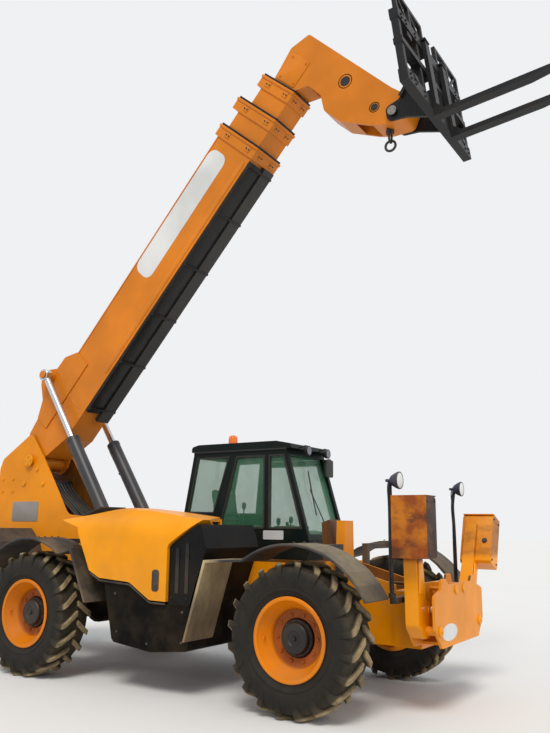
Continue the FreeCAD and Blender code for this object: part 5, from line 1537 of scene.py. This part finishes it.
# %% [markdown]
# ## Underneath
# From below one sees the drive: shafts with cross joints run from the gearbox
# to both axles, and rings of bolts on the axle housings.

# %% Drive shafts and axle covers
SHAFT_Z = 0.64
SHAFT = (0, 0, SHAFT_Z)
drive = []
for start, end in ((0.25, 1.36), (-1.36, -0.35)):
    drive.append(round_bar(start + 0.08, end - 0.08, 0.038, "X", SHAFT, 24, 0.006))
    for at in (start, end):
        drive += [
            round_bar(at - 0.085, at - 0.045, 0.06, "X", SHAFT, 24, 0.006),
            round_bar(at + 0.045, at + 0.085, 0.06, "X", SHAFT, 24, 0.006),
            round_bar(-0.062, 0.062, 0.024, "Y", (at, 0, SHAFT_Z), 20, 0.004),
            round_bar(-0.062, 0.062, 0.024, "Z", (at, 0, SHAFT_Z), 20, 0.004),
            block(about(at, 0.05), (-0.045, 0.045), (0.61, 0.67), 0.01),
        ]
gearbox = [
    block((-0.3, 0.18), (-0.17, 0.17), (0.585, 0.86), 0.03, 3),
    round_bar(0.16, 0.22, 0.075, "X", SHAFT, 28, 0.008),
    round_bar(-0.34, -0.28, 0.075, "X", SHAFT, 28, 0.008),
]
made("drive_shafts", drive + gearbox, dark_iron)
made("axle_bolts", [
    bolts([
        (sign * WHEEL_X + 0.15 * x, 0.111, 0.61 + 0.15 * z) for x, _, z in ring_of(10, 1.0, 0.0)
    ], 0.011, (0, 1, 0))
    for sign in (1, -1)
], bright_steel)

# %% [markdown]
# ## The camera
# The picture was taken from low down at the machine's front right, looking up
# a little. The place, the turn and the lens were worked out from the wheels,
# the forks and the boom, for an image 550 wide and 733 high.

# %% Camera
SENSOR = 36.0
FOCAL_PIXELS, PICTURE_HEIGHT = 750.0, 733.0
camera = linked("camera", bpy.data.cameras.new("camera"))
camera.data.sensor_width = SENSOR
camera.data.lens = FOCAL_PIXELS * SENSOR / PICTURE_HEIGHT
camera.data.clip_start = 0.1
camera.data.clip_end = 300.0
yaw, pitch, roll = -0.56238, 0.20992, 0.00988
forward = Vector(
    (math.sin(yaw) * math.cos(pitch), math.cos(yaw) * math.cos(pitch), math.sin(pitch))
)
right = Vector((math.cos(yaw), -math.sin(yaw), 0.0))
up = right.cross(forward)
turned_right = math.cos(roll) * right + math.sin(roll) * up
turned_up = math.cos(roll) * up - math.sin(roll) * right
axes = Matrix((turned_right, turned_up, -forward)).transposed()
camera.matrix_world = Matrix.Translation((4.6104, -6.603, 1.5)) @ axes.to_4x4()
bpy.context.scene.camera = camera

# %% [markdown]
# ## Floor and light
# The floor is one pale sheet. A broad soft sun from above the camera does the
# work of an overcast sky, a weaker one comes from ahead of the machine, and
# the world fills the rest. Past the floor's edge the camera, mirrors and
# glass see near white by ray switches, so no extra light falls on the machine.

# %% Floor
floor_finish = Finish("floor_finish")
floor_tone = floor_finish.noise(0.6, 3.0)
floor_finish.set(
    Base_Color=floor_finish.mix(floor_tone, colour(226, 225, 222), colour(232, 231, 229)),
    Roughness=0.85,
)
shape = bmesh.new()
bmesh.ops.create_grid(shape, x_segments=1, y_segments=1, size=90.0)
floor = linked("floor", mesh_of(shape, "floor"))
floor.location.z = cad_low.z - 0.001
floor.data.materials.append(floor_finish.material)
floor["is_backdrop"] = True

# %% Light
scene = bpy.context.scene
scene.view_settings.view_transform = "Standard"
world = bpy.data.worlds.new("studio")
scene.world = world
world.use_nodes = True
nodes, links = world.node_tree.nodes, world.node_tree.links


def world_node(kind, *sources, operation=None):
    made_node = nodes.new(kind)
    if operation:
        made_node.operation = operation
    for socket, source in zip(made_node.inputs, sources):
        links.new(source, socket)
    return made_node


sky = nodes["Background"]
sky.inputs["Color"].default_value = (0.93, 0.96, 1.0, 1.0)
sky.inputs["Strength"].default_value = 0.62
seen = nodes.new("ShaderNodeBackground")
seen.inputs["Color"].default_value = colour(240, 241, 243)
seen.inputs["Strength"].default_value = 1.0
ray = nodes.new("ShaderNodeLightPath").outputs
shiny = world_node(
    "ShaderNodeMath", ray["Is Glossy Ray"], ray["Is Transmission Ray"], operation="MAXIMUM"
)
either = world_node("ShaderNodeMath", ray["Is Camera Ray"], shiny.outputs[0], operation="MAXIMUM")
blend = world_node("ShaderNodeMixShader", either.outputs[0], sky.outputs[0], seen.outputs[0])
links.new(blend.outputs[0], nodes["World Output"].inputs["Surface"])


def sun(name, energy, aim, angle, tint):
    data = bpy.data.lights.new(name, "SUN")
    data.energy = energy
    data.angle = angle
    data.color = tint
    linked(name, data).rotation_euler = Vector(aim).to_track_quat("-Z", "Y").to_euler()


sun("key", 1.9, (-0.35, 0.75, -1.1), 0.35, (1.0, 0.97, 0.92))
sun("fill", 0.45, (-1.0, -0.2, -0.35), 0.8, (0.92, 0.96, 1.0))

# %% Sizes, and the end
low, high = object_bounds()
print("dressed model spans", [round(b - a, 3) for a, b in zip(low, high)])
